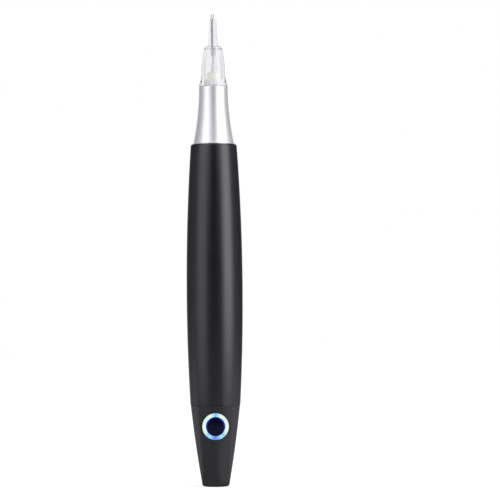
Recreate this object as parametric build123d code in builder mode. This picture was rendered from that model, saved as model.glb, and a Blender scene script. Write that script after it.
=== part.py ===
"""Permanent makeup machine: a slim rotary pen with a clear needle cartridge.

The pen stands on its tail, needle up. +Z runs along the pen, the origin is the centre of the tail
face, and the button faces -Y. All sizes are in millimetres.
"""

import os
from math import atan, cos, pi

from build123d import *

os.makedirs("parts", exist_ok=True)

# Lengths of the stack, from the tail face to the needle points
tail_length = 27.6
barrel_length = 88.0
cone_length = 19.7
flange_height = 1.1
flare_height = 3.7
waist_height = 2.3
dome_height = 6.3
nozzle_length = 9.5
needle_reach = 1.6

# Clearances
running_clearance = 0.03
slide_clearance = 0.08
thread_clearance = 0.05
part_gap = 0.1
contact_gap = 0.04
cut_overrun = 1.0
pick_tolerance = 0.001

# Barrel round the motor: its walls at the belly and at both ends, and the step down to the thread
motor_radius = 6.0
sleeve_wall = 1.45
barrel_wall = 2.0
barrel_seam_wall = 0.95
barrel_rim_wall = 0.78
thread_step = 0.5
belly_height = 38.4
barrel_bore_radius = motor_radius + sleeve_wall + thread_clearance
barrel_radius = barrel_bore_radius + barrel_wall
barrel_thread_radius = barrel_bore_radius - thread_step
barrel_seam_radius = barrel_bore_radius + barrel_seam_wall
barrel_rim_radius = barrel_thread_radius + barrel_rim_wall

# Outer radii of the rest of the stack
tail_end_radius = 4.5
tail_mid_radius = 6.68
seam_step = 0.09
tail_seam_radius = barrel_seam_radius - seam_step
cone_foot_step = 0.02
cone_foot_radius = barrel_thread_radius - cone_foot_step
cone_collar_height = 0.8
cone_tip_radius = 4.88
flange_radius = 4.83
flange_lip_radius = 4.6
waist_radius = 4.01
shoulder_radius = 3.02
nozzle_root_radius = 1.8
nozzle_tip_radius = 1.15

# Edge rounds and breaks
tail_edge_round = 0.7
barrel_rim_round = 0.6
cone_edge_round = 0.35
seam_break = 0.15
shoulder_round = 0.6
flange_edge_round = 0.25

# Joints at the barrel's two ends, and the inside of the tail cap
cone_spigot_length = 12.5
shoulder_gap = 0.6
tail_spigot_length = 5.4
tail_spigot_wall = 1.25
tail_bore_radius = barrel_bore_radius - thread_clearance - tail_spigot_wall
tail_floor = 2.5
tail_floor_radius = 3.7
tail_straight = 6.6
tail_taper_top = tail_length - tail_straight
o_ring_section = 0.4
seam_ring_height = 0.6
nose_ring_section = 0.33
nose_ring_drop = 0.9

# Button
button_drop = 7.15
button_height = tail_length - button_drop
bezel_radius = 4.42
bezel_bore_radius = 3.25
bezel_wall = 0.65
bezel_front = 7.35
bezel_dish = 0.3
bezel_rim = 0.15
bezel_seat = 5.75
bezel_spigot_radius = bezel_bore_radius + bezel_wall
spot_radius = bezel_radius + part_gap
boss_radius = spot_radius + 5 * part_gap
boss_back = 4.2
guide_wall = 0.3
guide_front = bezel_front - 4 * part_gap
cap_front = guide_front + thread_clearance
cap_thickness = 1.2
cap_round = 0.2
cap_stem_radius = 1.3
button_travel = 0.4

# Control board and the switch on it
board_front = 1.6
board_thickness = 1.0
board_half_width = 4.2
board_bottom = 11.5
board_above_seam = 3.9
board_top = tail_length + board_above_seam
switch_size = 3.8
switch_height = 1.5
switch_pin_radius = 0.9
switch_pin_out = 0.75
switch_pin_in = 0.7
led_length = 0.9
led_width = 0.6
led_height = 0.55
led_circle = 3.1
chip_sizes = ((3.6, 3.0), (2.4, 2.0), (2.0, 1.4))
chip_height_shares = (0.155, 0.375, 0.575)
chip_thickness = 0.7

# Charging socket in the tail face
socket_radius = 1.8
socket_nose_radius = 2.8
socket_sleeve_radius = 2.3
socket_sink = 0.2
socket_sleeve_top = 8.0
socket_body_radius = tail_floor_radius - part_gap
socket_bore_top = 10.5
contact_thickness = 0.3
contact_width = 1.0
contact_length = 2.0

# Battery and its carrier
cradle_wall = 0.8
battery_radius = barrel_bore_radius - cradle_wall - 2 * part_gap
battery_spring_room = 2.8
battery_nub_radius = 2.2
battery_nub = 0.8
battery_edge_round = 0.5
cradle_inner_radius = battery_radius + part_gap
cradle_outer_radius = barrel_bore_radius - part_gap
cradle_slot = 3.4
cradle_slot_floor = cradle_inner_radius - 4 * part_gap
web_thickness = 1.0
web_gap = 1.2
plus_thickness = 0.4
plus_radius = battery_radius - 9 * part_gap
plus_tab = 0.7
tail_plate_radius = tail_bore_radius - thread_clearance
tail_plate_thickness = 0.8
tail_plate_notch = tail_bore_radius - 11 * part_gap
spring_wire = 0.2
spring_radius = 4.4
spring_turns = 2.5
spring_cone_angle = 30.0

# Leads from the board to the motor and to the battery's plus contact
lead_radius = 0.33
lead_spacing = 0.95
lead_pad_drop = 3.5
lead_pad_height = board_top - lead_pad_drop
lead_inner = tail_bore_radius - 2 * lead_radius + thread_clearance
lead_outer = (cradle_inner_radius + cradle_outer_radius) / 2
lead_bend = 0.8
lead_rise = 2.8
lead_notch_depth = 2.6

# Motor: lengths and walls, and its inner radii as shares of the can's radius
motor_length = 20.5
motor_cap_length = 1.5
motor_front_wall = 1.5
motor_wall = 0.6
motor_nose_share = 0.5
motor_nose_radius = motor_nose_share * motor_radius
motor_nose_length = 1.0
shaft_radius = 0.75
bearing_share = 0.333
bearing_radius = bearing_share * motor_radius
coil_outer_radius = motor_radius - motor_wall - 7 * part_gap
coil_wall = 0.8
coil_inner_radius = coil_outer_radius - coil_wall
magnet_radius = coil_inner_radius - 3 * part_gap
magnet_bore_radius = 1.2
magnet_end_room = 7.0
magnet_length = motor_length - magnet_end_room
coil_end_room = 5.5
coil_length = motor_length - coil_end_room
coil_end = 0.8
commutator_radius = 1.3
commutator_length = 1.2
brush_thickness = 0.2
brush_width = 0.8
terminal_width = 0.6
terminal_thickness = 0.3
terminal_length = 1.1
terminal_share = 0.733
terminal_place = terminal_share * motor_radius
screw_radius = 0.8
screw_head_radius = 1.4
screw_share = 0.717
screw_place = screw_share * motor_radius
screw_grip = 1.3

# Drive: face cam, follower, push rod and their housing, with radii as shares of the housing's bore
stroke = 2.5
frame_floor = 1.6
frame_collar = 4.5
cone_spigot_wall = 1.0
frame_radius = barrel_thread_radius - thread_clearance - cone_spigot_wall - part_gap
frame_wall = 0.65
frame_bore_radius = frame_radius - frame_wall
frame_length = 15.5
cam_lift_off = 0.3
cam_disc = 1.5
cam_radius = frame_bore_radius - 5 * part_gap
ramp_outer_radius = cam_radius - 3 * part_gap
ramp_inner_share = 0.423
ramp_inner_radius = ramp_inner_share * frame_bore_radius
ramp_base = 0.2
hub_share = 0.346
hub_radius = hub_share * frame_bore_radius
hub_length = 3.2
shaft_past_hub = 0.4
follower_share = 0.173
follower_radius = follower_share * frame_bore_radius
follower_place_share = 0.615
follower_place = follower_place_share * frame_bore_radius
follower_lift = 0.02
carriage_clearance = 0.3
carriage_thickness = 1.8
rod_share = 0.288
rod_radius = rod_share * frame_bore_radius
rod_tip_round = 0.3
guide_pin_share = 0.115
guide_pin_radius = guide_pin_share * frame_bore_radius
guide_pin_place_share = 0.712
guide_pin_place = guide_pin_place_share * frame_bore_radius
drive_cap_rim = 1.0
bush_share = 0.538
bush_radius = bush_share * frame_bore_radius
bush_length = 4.0
return_wire = 0.22
return_share = 0.433
return_radius = return_share * frame_bore_radius
return_turns = 4.0

# Inside of the nose cone
cone_cavity_radius = frame_radius + part_gap
cone_cavity_drop = 0.4
cone_throat_radius = bush_radius + 5 * part_gap
throat_end_gap = 0.3

# Cartridge
shank_radius = 3.88
shank_length = 13.5
shank_bore_radius = 3.1
shank_bore_depth = 5.2
tip_bore_radius = 3.15
tip_wall = 0.8
roof_thickness = 0.7
nozzle_bore_root = 1.05
nozzle_bore_tip = 0.82
shank_spigot = 1.7
rib_depth = 0.5
rib_width = 0.45
rib_count = 4
rib_length = 4.6
window_width = 1.1
window_bottom = 1.6
window_length = 5.6
grip_ring_section = 0.4
grip_ring_place = 10.3
membrane_wall = 0.3
membrane_radius = 2.05
membrane_height = 3.1
membrane_round = 0.7
plunger_radius = 0.68
plunger_foot_radius = 1.2
plunger_head_radius = 2.6
plunger_head = 1.2
plunger_recess = 1.5
plunger_top = 7.3
bar_radius = 0.18
bar_length = 2.9
bar_seat = 0.5
holder_radius = 0.76
holder_length = 2.7
needle_radius = 0.175
needle_pitch = 0.19
needle_offset = -0.34
needle_left_lean = 0.03
needle_right_lean = 0.43
needle_point = 0.08
needle_point_length = 2.3
needle_seat = 2.0

# Heights worked out from the stack
seam_z = tail_length
barrel_top = seam_z + barrel_length
cone_top = barrel_top + cone_length
flange_top = cone_top + flange_height
waist_bottom = flange_top + flare_height
waist_top = waist_bottom + waist_height
shoulder_z = waist_top + dome_height
nozzle_top = shoulder_z + nozzle_length
needle_top = nozzle_top + needle_reach
cone_bottom = barrel_top - cone_spigot_length
barrel_shoulder = cone_bottom - shoulder_gap
motor_front = barrel_shoulder - frame_collar
motor_back = motor_front - motor_length
spigot_top = seam_z + tail_spigot_length

# Heights and places in the drive
floor_top = motor_front + frame_floor
cam_bottom = floor_top + cam_lift_off
cam_valley = cam_bottom + cam_disc + ramp_base
cam_peak = cam_valley + stroke
carriage_bottom = cam_peak + stroke + carriage_clearance
carriage_top = carriage_bottom + carriage_thickness
frame_top = motor_front + frame_length
shank_bottom = cone_top - shank_length
plunger_bottom = shank_bottom + plunger_recess
rod_top = plunger_bottom - contact_gap
ramp_slope = atan(stroke / pi / follower_place)
follower_centre = cam_peak + follower_radius / cos(ramp_slope) + follower_lift

button_axis = Plane(origin=(0, 0, button_height), x_dir=(1, 0, 0), z_dir=(0, -1, 0))


def rims(body, height, radius):
    """The round edges of a turned body that lie at one height and have one radius."""
    rounds = body.edges().filter_by(GeomType.CIRCLE)
    level = rounds.filter_by(lambda e: abs(e.arc_center.Z - height) < pick_tolerance)
    return level.filter_by(lambda e: abs(e.radius - radius) < pick_tolerance)


def tail_outline():
    """The tail cap's outer profile from the axis at the tail face to the seam."""
    Line((0, 0), (tail_end_radius, 0))
    ThreePointArc(
        (tail_end_radius, 0), (tail_mid_radius, tail_length / 2), (tail_seam_radius, tail_length)
    )


# Tail cap: tapered cup with the button's seat, a threaded spigot and a hole for the socket
with BuildPart() as tail_cap:
    with BuildSketch(Plane.XZ):
        with BuildLine():
            tail_outline()
            Line((tail_seam_radius, tail_length), (0, tail_length))
            Line((0, tail_length), (0, 0))
        make_face()
    revolve(axis=Axis.Z)
    fillet(rims(tail_cap, 0, tail_end_radius), tail_edge_round)
    chamfer(rims(tail_cap, tail_length, tail_seam_radius), seam_break)
    with BuildSketch(Plane.XY.offset(seam_z)):
        Circle(barrel_bore_radius - thread_clearance)
    extrude(amount=tail_spigot_length)
    with BuildSketch(Plane.XZ):
        with BuildLine():
            Polyline(
                (0, tail_floor),
                (tail_floor_radius, tail_floor),
                (tail_bore_radius, tail_taper_top),
                (tail_bore_radius, spigot_top),
                (0, spigot_top),
                close=True,
            )
        make_face()
    revolve(axis=Axis.Z, mode=Mode.SUBTRACT)
    with BuildSketch(button_axis.offset(boss_back)):
        Circle(boss_radius)
    extrude(amount=bezel_seat - boss_back)
    with BuildSketch(button_axis.offset(bezel_seat)):
        Circle(spot_radius)
    extrude(amount=barrel_radius, mode=Mode.SUBTRACT)
    with BuildSketch(button_axis.offset(boss_back)):
        Circle(bezel_spigot_radius + thread_clearance)
    extrude(amount=barrel_radius, mode=Mode.SUBTRACT)
    with BuildSketch(Plane.XY):
        Circle(socket_nose_radius)
    extrude(amount=tail_floor, mode=Mode.SUBTRACT)
    with BuildSketch(Plane.XZ):
        with Locations((barrel_bore_radius - o_ring_section, seam_z + seam_ring_height + o_ring_section)):
            Rectangle(2 * o_ring_section, 2 * o_ring_section)
    revolve(axis=Axis.Z, mode=Mode.SUBTRACT)
    with BuildSketch(Plane.XY.offset(spigot_top - lead_notch_depth)):
        with Locations((0, barrel_bore_radius)):
            Rectangle(cradle_slot, 2 * (barrel_bore_radius - lead_inner) + lead_radius)
    extrude(amount=lead_notch_depth, mode=Mode.SUBTRACT)
tail_cap.part.label = "tail_cap"
export_step(tail_cap.part, "parts/tail_cap.step")

# Rubber ring in the spigot's groove, between tail cap and barrel
with BuildPart() as seam_o_ring:
    with BuildSketch(Plane.XZ):
        with Locations((barrel_bore_radius - o_ring_section, seam_z + seam_ring_height + o_ring_section)):
            Circle(o_ring_section - contact_gap)
    revolve(axis=Axis.Z)
seam_o_ring.part.label = "seam_o_ring"
export_step(seam_o_ring.part, "parts/seam_o_ring.step")

# Turned ring round the button, dished, with a spigot through the wall
with BuildPart() as button_bezel:
    with BuildSketch(button_axis.offset(boss_back)):
        Circle(bezel_spigot_radius)
    extrude(amount=bezel_seat - boss_back)
    with BuildSketch(button_axis.offset(bezel_seat)):
        Circle(bezel_radius)
    extrude(amount=bezel_front - bezel_seat)
    front_edge = button_bezel.faces().sort_by(Axis.Y)[0].edges()
    fillet(front_edge, bezel_rim)
    with BuildSketch(button_axis.offset(boss_back)):
        Circle(bezel_bore_radius)
    extrude(amount=bezel_front - boss_back, mode=Mode.SUBTRACT)
    with BuildSketch(Plane.YZ):
        with Locations((-bezel_front, button_height)):
            with BuildLine():
                Polyline(
                    (0, 0),
                    (0, bezel_radius - bezel_rim),
                    (bezel_dish, bezel_bore_radius),
                    (bezel_dish, 0),
                    close=True,
                )
            make_face()
    revolve(
        axis=Axis((0, 0, button_height), (0, -1, 0)),
        mode=Mode.SUBTRACT,
    )
button_bezel.part.label = "button_bezel"
export_step(button_bezel.part, "parts/button_bezel.step")

# Clear tube that carries the light from the LEDs to the button's edge
guide_back = board_front + led_height + part_gap
with BuildPart() as light_guide:
    with BuildSketch(button_axis.offset(guide_back)):
        Circle(bezel_bore_radius)
        Circle(bezel_bore_radius - guide_wall, mode=Mode.SUBTRACT)
    extrude(amount=guide_front - guide_back)
light_guide.part.label = "light_guide"
export_step(light_guide.part, "parts/light_guide.step")

# Button cap: a disc with a stem that bears on the switch's pin
cap_radius = bezel_bore_radius - guide_wall - thread_clearance
switch_front = board_front + switch_height
pin_front = switch_front + switch_pin_out
with BuildPart() as button_cap:
    with BuildSketch(button_axis.offset(cap_front - cap_thickness)):
        Circle(cap_radius)
    extrude(amount=cap_thickness)
    fillet(button_cap.faces().sort_by(Axis.Y)[0].edges(), cap_round)
    with BuildSketch(button_axis.offset(pin_front)):
        Circle(cap_stem_radius)
    extrude(amount=cap_front - cap_thickness - pin_front)
button_cap.part.label = "button_cap"
export_step(button_cap.part, "parts/button_cap.step")

# Tactile switch, with the hole that its pin slides in
with BuildPart() as button_switch:
    with BuildSketch(button_axis.offset(board_front)):
        Rectangle(switch_size, switch_size)
    extrude(amount=switch_height)
    with BuildSketch(button_axis.offset(switch_front)):
        Circle(switch_pin_radius + thread_clearance)
    extrude(amount=-(switch_pin_in + button_travel + part_gap), mode=Mode.SUBTRACT)
button_switch.part.label = "button_switch"
export_step(button_switch.part, "parts/button_switch.step")

with BuildPart() as switch_plunger:
    with BuildSketch(button_axis.offset(switch_front - switch_pin_in)):
        Circle(switch_pin_radius)
    extrude(amount=switch_pin_in + switch_pin_out)
switch_plunger.part.label = "switch_plunger"
export_step(switch_plunger.part, "parts/switch_plunger.step")

# Four LED chips on the board, under the light guide
with BuildPart() as button_leds:
    with BuildSketch(button_axis.offset(board_front)):
        with PolarLocations(led_circle, 4):
            Rectangle(led_width, led_length)
    extrude(amount=led_height)
button_leds.part.label = "button_leds"
export_step(button_leds.part, "parts/button_leds.step")

# Control board, standing on the socket's body
with BuildPart() as control_board:
    with BuildSketch(Plane.XZ.offset(board_front - board_thickness)):
        with Locations((0, (board_bottom + board_top) / 2)):
            Rectangle(2 * board_half_width, board_top - board_bottom)
    extrude(amount=board_thickness)
control_board.part.label = "control_board"
export_step(control_board.part, "parts/control_board.step")

with BuildPart() as board_chips:
    for (chip_width, chip_tall), share in zip(chip_sizes, chip_height_shares):
        chip_z = board_bottom + share * (board_top - board_bottom)
        with BuildSketch(Plane.XZ.offset(board_front - board_thickness)):
            with Locations((0, chip_z)):
                Rectangle(chip_width, chip_tall)
        extrude(amount=-chip_thickness)
board_chips.part.label = "board_chips"
export_step(board_chips.part, "parts/board_chips.step")

# Charging socket: plated bush, moulded body and two contact leaves
with BuildPart() as charge_socket_bush:
    with BuildSketch(Plane.XY.offset(socket_sink)):
        Circle(socket_nose_radius)
    extrude(amount=tail_floor - socket_sink)
    with BuildSketch(Plane.XY.offset(tail_floor)):
        Circle(socket_sleeve_radius)
    extrude(amount=socket_sleeve_top - tail_floor)
    with BuildSketch(Plane.XY.offset(socket_sink)):
        Circle(socket_radius)
    extrude(amount=socket_sleeve_top - socket_sink, mode=Mode.SUBTRACT)
charge_socket_bush.part.label = "charge_socket_bush"
export_step(charge_socket_bush.part, "parts/charge_socket_bush.step")

contact_bottom = socket_sleeve_top + (socket_bore_top - socket_sleeve_top - contact_length) / 2
with BuildPart() as charge_socket_body:
    with BuildSketch(Plane.XY.offset(tail_floor)):
        Circle(socket_body_radius)
    extrude(amount=board_bottom - tail_floor)
    with BuildSketch(Plane.XY.offset(tail_floor)):
        Circle(socket_sleeve_radius)
    extrude(amount=socket_sleeve_top - tail_floor, mode=Mode.SUBTRACT)
    with BuildSketch(Plane.XY.offset(socket_sleeve_top)):
        Circle(socket_radius)
    extrude(amount=socket_bore_top - socket_sleeve_top, mode=Mode.SUBTRACT)
    with BuildSketch(Plane.XY.offset(contact_bottom)):
        Rectangle(2 * (socket_radius + contact_thickness), contact_width)
    extrude(amount=contact_length, mode=Mode.SUBTRACT)
charge_socket_body.part.label = "charge_socket_body"
export_step(charge_socket_body.part, "parts/charge_socket_body.step")

with BuildPart() as charge_contacts:
    with BuildSketch(Plane.XY.offset(contact_bottom)):
        for side in (-1, 1):
            with Locations((side * (socket_radius + contact_thickness / 2), 0)):
                Rectangle(contact_thickness, contact_width)
    extrude(amount=contact_length)
charge_contacts.part.label = "charge_contacts"
export_step(charge_contacts.part, "parts/charge_contacts.step")

# Barrel: cigar-shaped shell, bored from the tail and threaded at the nose
with BuildPart() as barrel:
    with BuildSketch(Plane.XZ):
        with BuildLine():
            Line((barrel_bore_radius, seam_z), (barrel_seam_radius, seam_z))
            TangentArc(
                (barrel_radius, seam_z + belly_height), (barrel_seam_radius, seam_z), tangent=(0, -1)
            )
            TangentArc(
                (barrel_radius, seam_z + belly_height), (barrel_rim_radius, barrel_top), tangent=(0, 1)
            )
            Polyline(
                (barrel_rim_radius, barrel_top),
                (barrel_thread_radius, barrel_top),
                (barrel_thread_radius, barrel_shoulder),
                (barrel_bore_radius, barrel_shoulder),
                (barrel_bore_radius, seam_z),
            )
        make_face()
    revolve(axis=Axis.Z)
    fillet(rims(barrel, barrel_top, barrel_rim_radius), barrel_rim_round)
    chamfer(rims(barrel, seam_z, barrel_seam_radius), seam_break)
barrel.part.label = "barrel"
export_step(barrel.part, "parts/barrel.step")

# Battery carrier: slotted tube with a web behind the motor
web_bottom = motor_back - web_gap - web_thickness
plus_bottom = web_bottom - plus_thickness
battery_bottom = board_top + tail_plate_thickness + battery_spring_room
battery_length = plus_bottom - battery_nub - battery_bottom
with BuildPart() as battery_cradle:
    with BuildSketch(Plane.XY.offset(spigot_top)):
        Circle(cradle_outer_radius)
        Circle(cradle_inner_radius, mode=Mode.SUBTRACT)
    extrude(amount=motor_back - spigot_top)
    with BuildSketch(Plane.XY.offset(web_bottom)):
        Circle(cradle_inner_radius)
    extrude(amount=web_thickness)
    with BuildSketch(Plane.XY.offset(spigot_top)):
        with Locations((0, cradle_outer_radius)):
            Rectangle(cradle_slot, 2 * (cradle_outer_radius - cradle_slot_floor))
    extrude(amount=motor_back - spigot_top, mode=Mode.SUBTRACT)
battery_cradle.part.label = "battery_cradle"
export_step(battery_cradle.part, "parts/battery_cradle.step")

with BuildPart() as battery:
    with BuildSketch(Plane.XY.offset(battery_bottom)):
        Circle(battery_radius)
    extrude(amount=battery_length)
    fillet(battery.edges().filter_by(GeomType.CIRCLE), battery_edge_round)
    with BuildSketch(Plane.XY.offset(battery_bottom + battery_length)):
        Circle(battery_nub_radius)
    extrude(amount=battery_nub)
battery.part.label = "battery"
export_step(battery.part, "parts/battery.step")

# Plus contact under the web, with a tab into the lead slot
tab_reach = lead_outer + lead_radius
with BuildPart() as battery_plus_contact:
    with BuildSketch(Plane.XY.offset(plus_bottom)):
        Circle(plus_radius)
        with Locations((0, tab_reach / 2)):
            Rectangle(plus_tab, tab_reach)
    extrude(amount=plus_thickness)
battery_plus_contact.part.label = "battery_plus_contact"
export_step(battery_plus_contact.part, "parts/battery_plus_contact.step")

# Round contact plate on the board's top edge, notched for the leads
with BuildPart() as tail_contact_plate:
    with BuildSketch(Plane.XY.offset(board_top)):
        Circle(tail_plate_radius)
        with Locations((0, tail_plate_radius)):
            Rectangle(cradle_slot, 2 * (tail_plate_radius - tail_plate_notch), mode=Mode.SUBTRACT)
    extrude(amount=tail_plate_thickness)
tail_contact_plate.part.label = "tail_contact_plate"
export_step(tail_contact_plate.part, "parts/tail_contact_plate.step")

# Conical wire spring between that plate and the battery
spring_bottom = board_top + tail_plate_thickness + spring_wire
spring_height = battery_bottom - spring_bottom - spring_wire
with BuildPart() as battery_spring:
    with BuildLine():
        spring_path = Helix(
            pitch=spring_height / spring_turns,
            height=spring_height,
            radius=spring_radius,
            center=(0, 0, spring_bottom),
            cone_angle=-spring_cone_angle,
        )
    with BuildSketch(Plane(origin=spring_path @ 0, z_dir=spring_path % 0)):
        Circle(spring_wire)
    sweep(path=spring_path, is_frenet=True)
battery_spring.part.label = "battery_spring"
export_step(battery_spring.part, "parts/battery_spring.step")

# Leads: two to the motor's terminals and one to the plus contact, side by side in the slot
terminal_z = motor_back - terminal_length / 2
slot_entry = spigot_top + part_gap
with BuildPart() as lead_wires:
    for lane in (-1, 0, 1):
        lane_x = lane * lead_spacing
        route = [
            (lane_x, board_thickness - board_front, lead_pad_height),
            (lane_x, lead_inner, lead_pad_height),
            (lane_x, lead_inner, slot_entry - lead_rise),
            (lane_x, lead_outer, slot_entry),
        ]
        if lane == 0:
            route.append((lane_x, lead_outer, plus_bottom))
        else:
            route.append((lane_x, lead_outer, terminal_z))
            route.append((lane_x, terminal_place + terminal_thickness / 2, terminal_z))
        with BuildLine():
            lead_path = FilletPolyline(*route, radius=lead_bend)
        with BuildSketch(Plane(origin=lead_path @ 0, z_dir=lead_path % 0)):
            Circle(lead_radius)
        sweep(path=lead_path)
lead_wires.part.label = "lead_wires"
export_step(lead_wires.part, "parts/lead_wires.step")

# Motor: can with its front wall and nose, and the plastic cap at its back
cap_front_z = motor_back + motor_cap_length
with BuildPart() as motor_housing:
    with BuildSketch(Plane.XY.offset(cap_front_z)):
        Circle(motor_radius)
    extrude(amount=motor_front - cap_front_z)
    with BuildSketch(Plane.XY.offset(motor_front)):
        Circle(motor_nose_radius)
    extrude(amount=motor_nose_length)
    with BuildSketch(Plane.XY.offset(cap_front_z)):
        Circle(motor_radius - motor_wall)
    extrude(amount=motor_front - motor_front_wall - cap_front_z, mode=Mode.SUBTRACT)
    with BuildSketch(Plane.XY.offset(motor_front - motor_front_wall)):
        Circle(bearing_radius)
    extrude(amount=motor_front_wall + motor_nose_length, mode=Mode.SUBTRACT)
    with BuildSketch(Plane.XY.offset(motor_front)):
        with PolarLocations(screw_place, 2):
            Circle(screw_radius)
    extrude(amount=-screw_grip, mode=Mode.SUBTRACT)
motor_housing.part.label = "motor_housing"
export_step(motor_housing.part, "parts/motor_housing.step")

with BuildPart() as motor_brush_cap:
    with BuildSketch(Plane.XY.offset(motor_back)):
        Circle(motor_radius)
        Circle(bearing_radius, mode=Mode.SUBTRACT)
    extrude(amount=motor_cap_length)
    with BuildSketch(Plane.XY.offset(motor_back - terminal_length)):
        for lane in (-1, 1):
            with Locations((lane * lead_spacing, terminal_place)):
                Rectangle(terminal_width, terminal_thickness)
    extrude(amount=terminal_length)
motor_brush_cap.part.label = "motor_brush_cap"
export_step(motor_brush_cap.part, "parts/motor_brush_cap.step")

# Bronze bushes that carry the shaft at both ends of the motor
with BuildPart() as rear_bearing:
    with BuildSketch(Plane.XY.offset(motor_back)):
        Circle(bearing_radius)
        Circle(shaft_radius + running_clearance, mode=Mode.SUBTRACT)
    extrude(amount=motor_cap_length)
rear_bearing.part.label = "rear_bearing"
export_step(rear_bearing.part, "parts/rear_bearing.step")

with BuildPart() as front_bearing:
    with BuildSketch(Plane.XY.offset(motor_front + motor_nose_length)):
        Circle(bearing_radius)
        Circle(shaft_radius + running_clearance, mode=Mode.SUBTRACT)
    extrude(amount=-(motor_front_wall + motor_nose_length))
front_bearing.part.label = "front_bearing"
export_step(front_bearing.part, "parts/front_bearing.step")

# Magnet on the can's front wall, inside the coil
with BuildPart() as motor_magnet:
    with BuildSketch(Plane.XY.offset(motor_front - motor_front_wall)):
        Circle(magnet_radius)
        Circle(magnet_bore_radius, mode=Mode.SUBTRACT)
    extrude(amount=-magnet_length)
motor_magnet.part.label = "motor_magnet"
export_step(motor_magnet.part, "parts/motor_magnet.step")

# Brush leaves, clear of the commutator by a running gap
brush_bottom = cap_front_z
with BuildPart() as motor_brushes:
    with BuildSketch(Plane.XY.offset(brush_bottom)):
        for side in (-1, 1):
            with Locations((side * (commutator_radius + running_clearance + brush_thickness / 2), 0)):
                Rectangle(brush_thickness, brush_width)
    extrude(amount=commutator_length)
motor_brushes.part.label = "motor_brushes"
export_step(motor_brushes.part, "parts/motor_brushes.step")

# Rotor: shaft, commutator and cup coil
hub_top = cam_bottom + hub_length
commutator_bottom = cap_front_z + part_gap
coil_bottom = commutator_bottom + commutator_length
with BuildPart() as motor_shaft:
    with BuildSketch(Plane.XY.offset(motor_back)):
        Circle(shaft_radius)
    extrude(amount=hub_top + shaft_past_hub - motor_back)
motor_shaft.part.label = "motor_shaft"
export_step(motor_shaft.part, "parts/motor_shaft.step")

with BuildPart() as commutator:
    with BuildSketch(Plane.XY.offset(commutator_bottom)):
        Circle(commutator_radius)
        Circle(shaft_radius, mode=Mode.SUBTRACT)
    extrude(amount=commutator_length)
commutator.part.label = "commutator"
export_step(commutator.part, "parts/commutator.step")

with BuildPart() as motor_coil:
    with BuildSketch(Plane.XY.offset(coil_bottom)):
        Circle(coil_outer_radius)
        Circle(coil_inner_radius, mode=Mode.SUBTRACT)
    extrude(amount=coil_length)
    with BuildSketch(Plane.XY.offset(coil_bottom)):
        Circle(coil_outer_radius)
        Circle(shaft_radius, mode=Mode.SUBTRACT)
    extrude(amount=coil_end)
motor_coil.part.label = "motor_coil"
export_step(motor_coil.part, "parts/motor_coil.step")

# Sleeve that centres the motor in the barrel
with BuildPart() as motor_sleeve:
    with BuildSketch(Plane.XY.offset(motor_back)):
        Circle(barrel_bore_radius - thread_clearance)
        Circle(motor_radius, mode=Mode.SUBTRACT)
    extrude(amount=motor_length)
motor_sleeve.part.label = "motor_sleeve"
export_step(motor_sleeve.part, "parts/motor_sleeve.step")

# Drive frame: floor on the motor, collar against the barrel's shoulder, and a guide tube
with BuildPart() as drive_frame:
    with BuildSketch(Plane.XY.offset(motor_front)):
        Circle(barrel_bore_radius - thread_clearance)
    extrude(amount=frame_collar)
    with BuildSketch(Plane.XY.offset(barrel_shoulder)):
        Circle(frame_radius)
    extrude(amount=frame_top - barrel_shoulder)
    with BuildSketch(Plane.XY.offset(floor_top)):
        Circle(frame_bore_radius)
    extrude(amount=frame_top - floor_top, mode=Mode.SUBTRACT)
    with BuildSketch(Plane.XY.offset(motor_front)):
        Circle(motor_nose_radius)
    extrude(amount=frame_floor, mode=Mode.SUBTRACT)
    with Locations(Plane.XY.offset(floor_top)):
        with PolarLocations(screw_place, 2):
            CounterSinkHole(screw_radius, screw_head_radius)
drive_frame.part.label = "drive_frame"
export_step(drive_frame.part, "parts/drive_frame.step")

# Two countersunk screws, frame to motor
with BuildPart() as motor_screws:
    with PolarLocations(screw_place, 2):
        with Locations((0, 0, motor_front - screw_grip)):
            Cylinder(
                screw_radius,
                screw_grip + frame_floor,
                align=(Align.CENTER, Align.CENTER, Align.MIN),
            )
        with Locations((0, 0, floor_top - (screw_head_radius - screw_radius))):
            Cone(
                screw_radius,
                screw_head_radius,
                screw_head_radius - screw_radius,
                align=(Align.CENTER, Align.CENTER, Align.MIN),
            )
motor_screws.part.label = "motor_screws"
export_step(motor_screws.part, "parts/motor_screws.step")

# Face cam: the ring's top falls by the stroke over each half turn, from its peak towards +Y
with BuildPart() as drive_cam:
    with BuildSketch(Plane.XY.offset(cam_bottom)):
        Circle(cam_radius)
        Circle(shaft_radius, mode=Mode.SUBTRACT)
    extrude(amount=cam_disc)
    with BuildSketch(Plane.XY.offset(cam_bottom)):
        Circle(hub_radius)
        Circle(shaft_radius, mode=Mode.SUBTRACT)
    extrude(amount=hub_length)
    ramp_edges = [
        Helix(pitch=2 * stroke, height=stroke, radius=r, center=(0, 0, cam_valley), mode=Mode.PRIVATE)
        for r in (ramp_inner_radius, ramp_outer_radius)
    ]
    ramp_top = Face.make_surface_from_curves(ramp_edges[0].edge(), ramp_edges[1].edge())
    ramp = extrude(ramp_top, amount=stroke + ramp_base + cam_disc / 2, dir=(0, 0, -1), mode=Mode.PRIVATE)
    ramp_turned = ramp.rotate(Axis.Z, -90)
    add(ramp_turned)
    add(ramp_turned.mirror(Plane.YZ))
    with BuildSketch(Plane.XY.offset(cam_bottom)):
        Circle(cam_radius + cut_overrun)
    extrude(amount=-cut_overrun - stroke, mode=Mode.SUBTRACT)
drive_cam.part.label = "drive_cam"
export_step(drive_cam.part, "parts/drive_cam.step")

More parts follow.
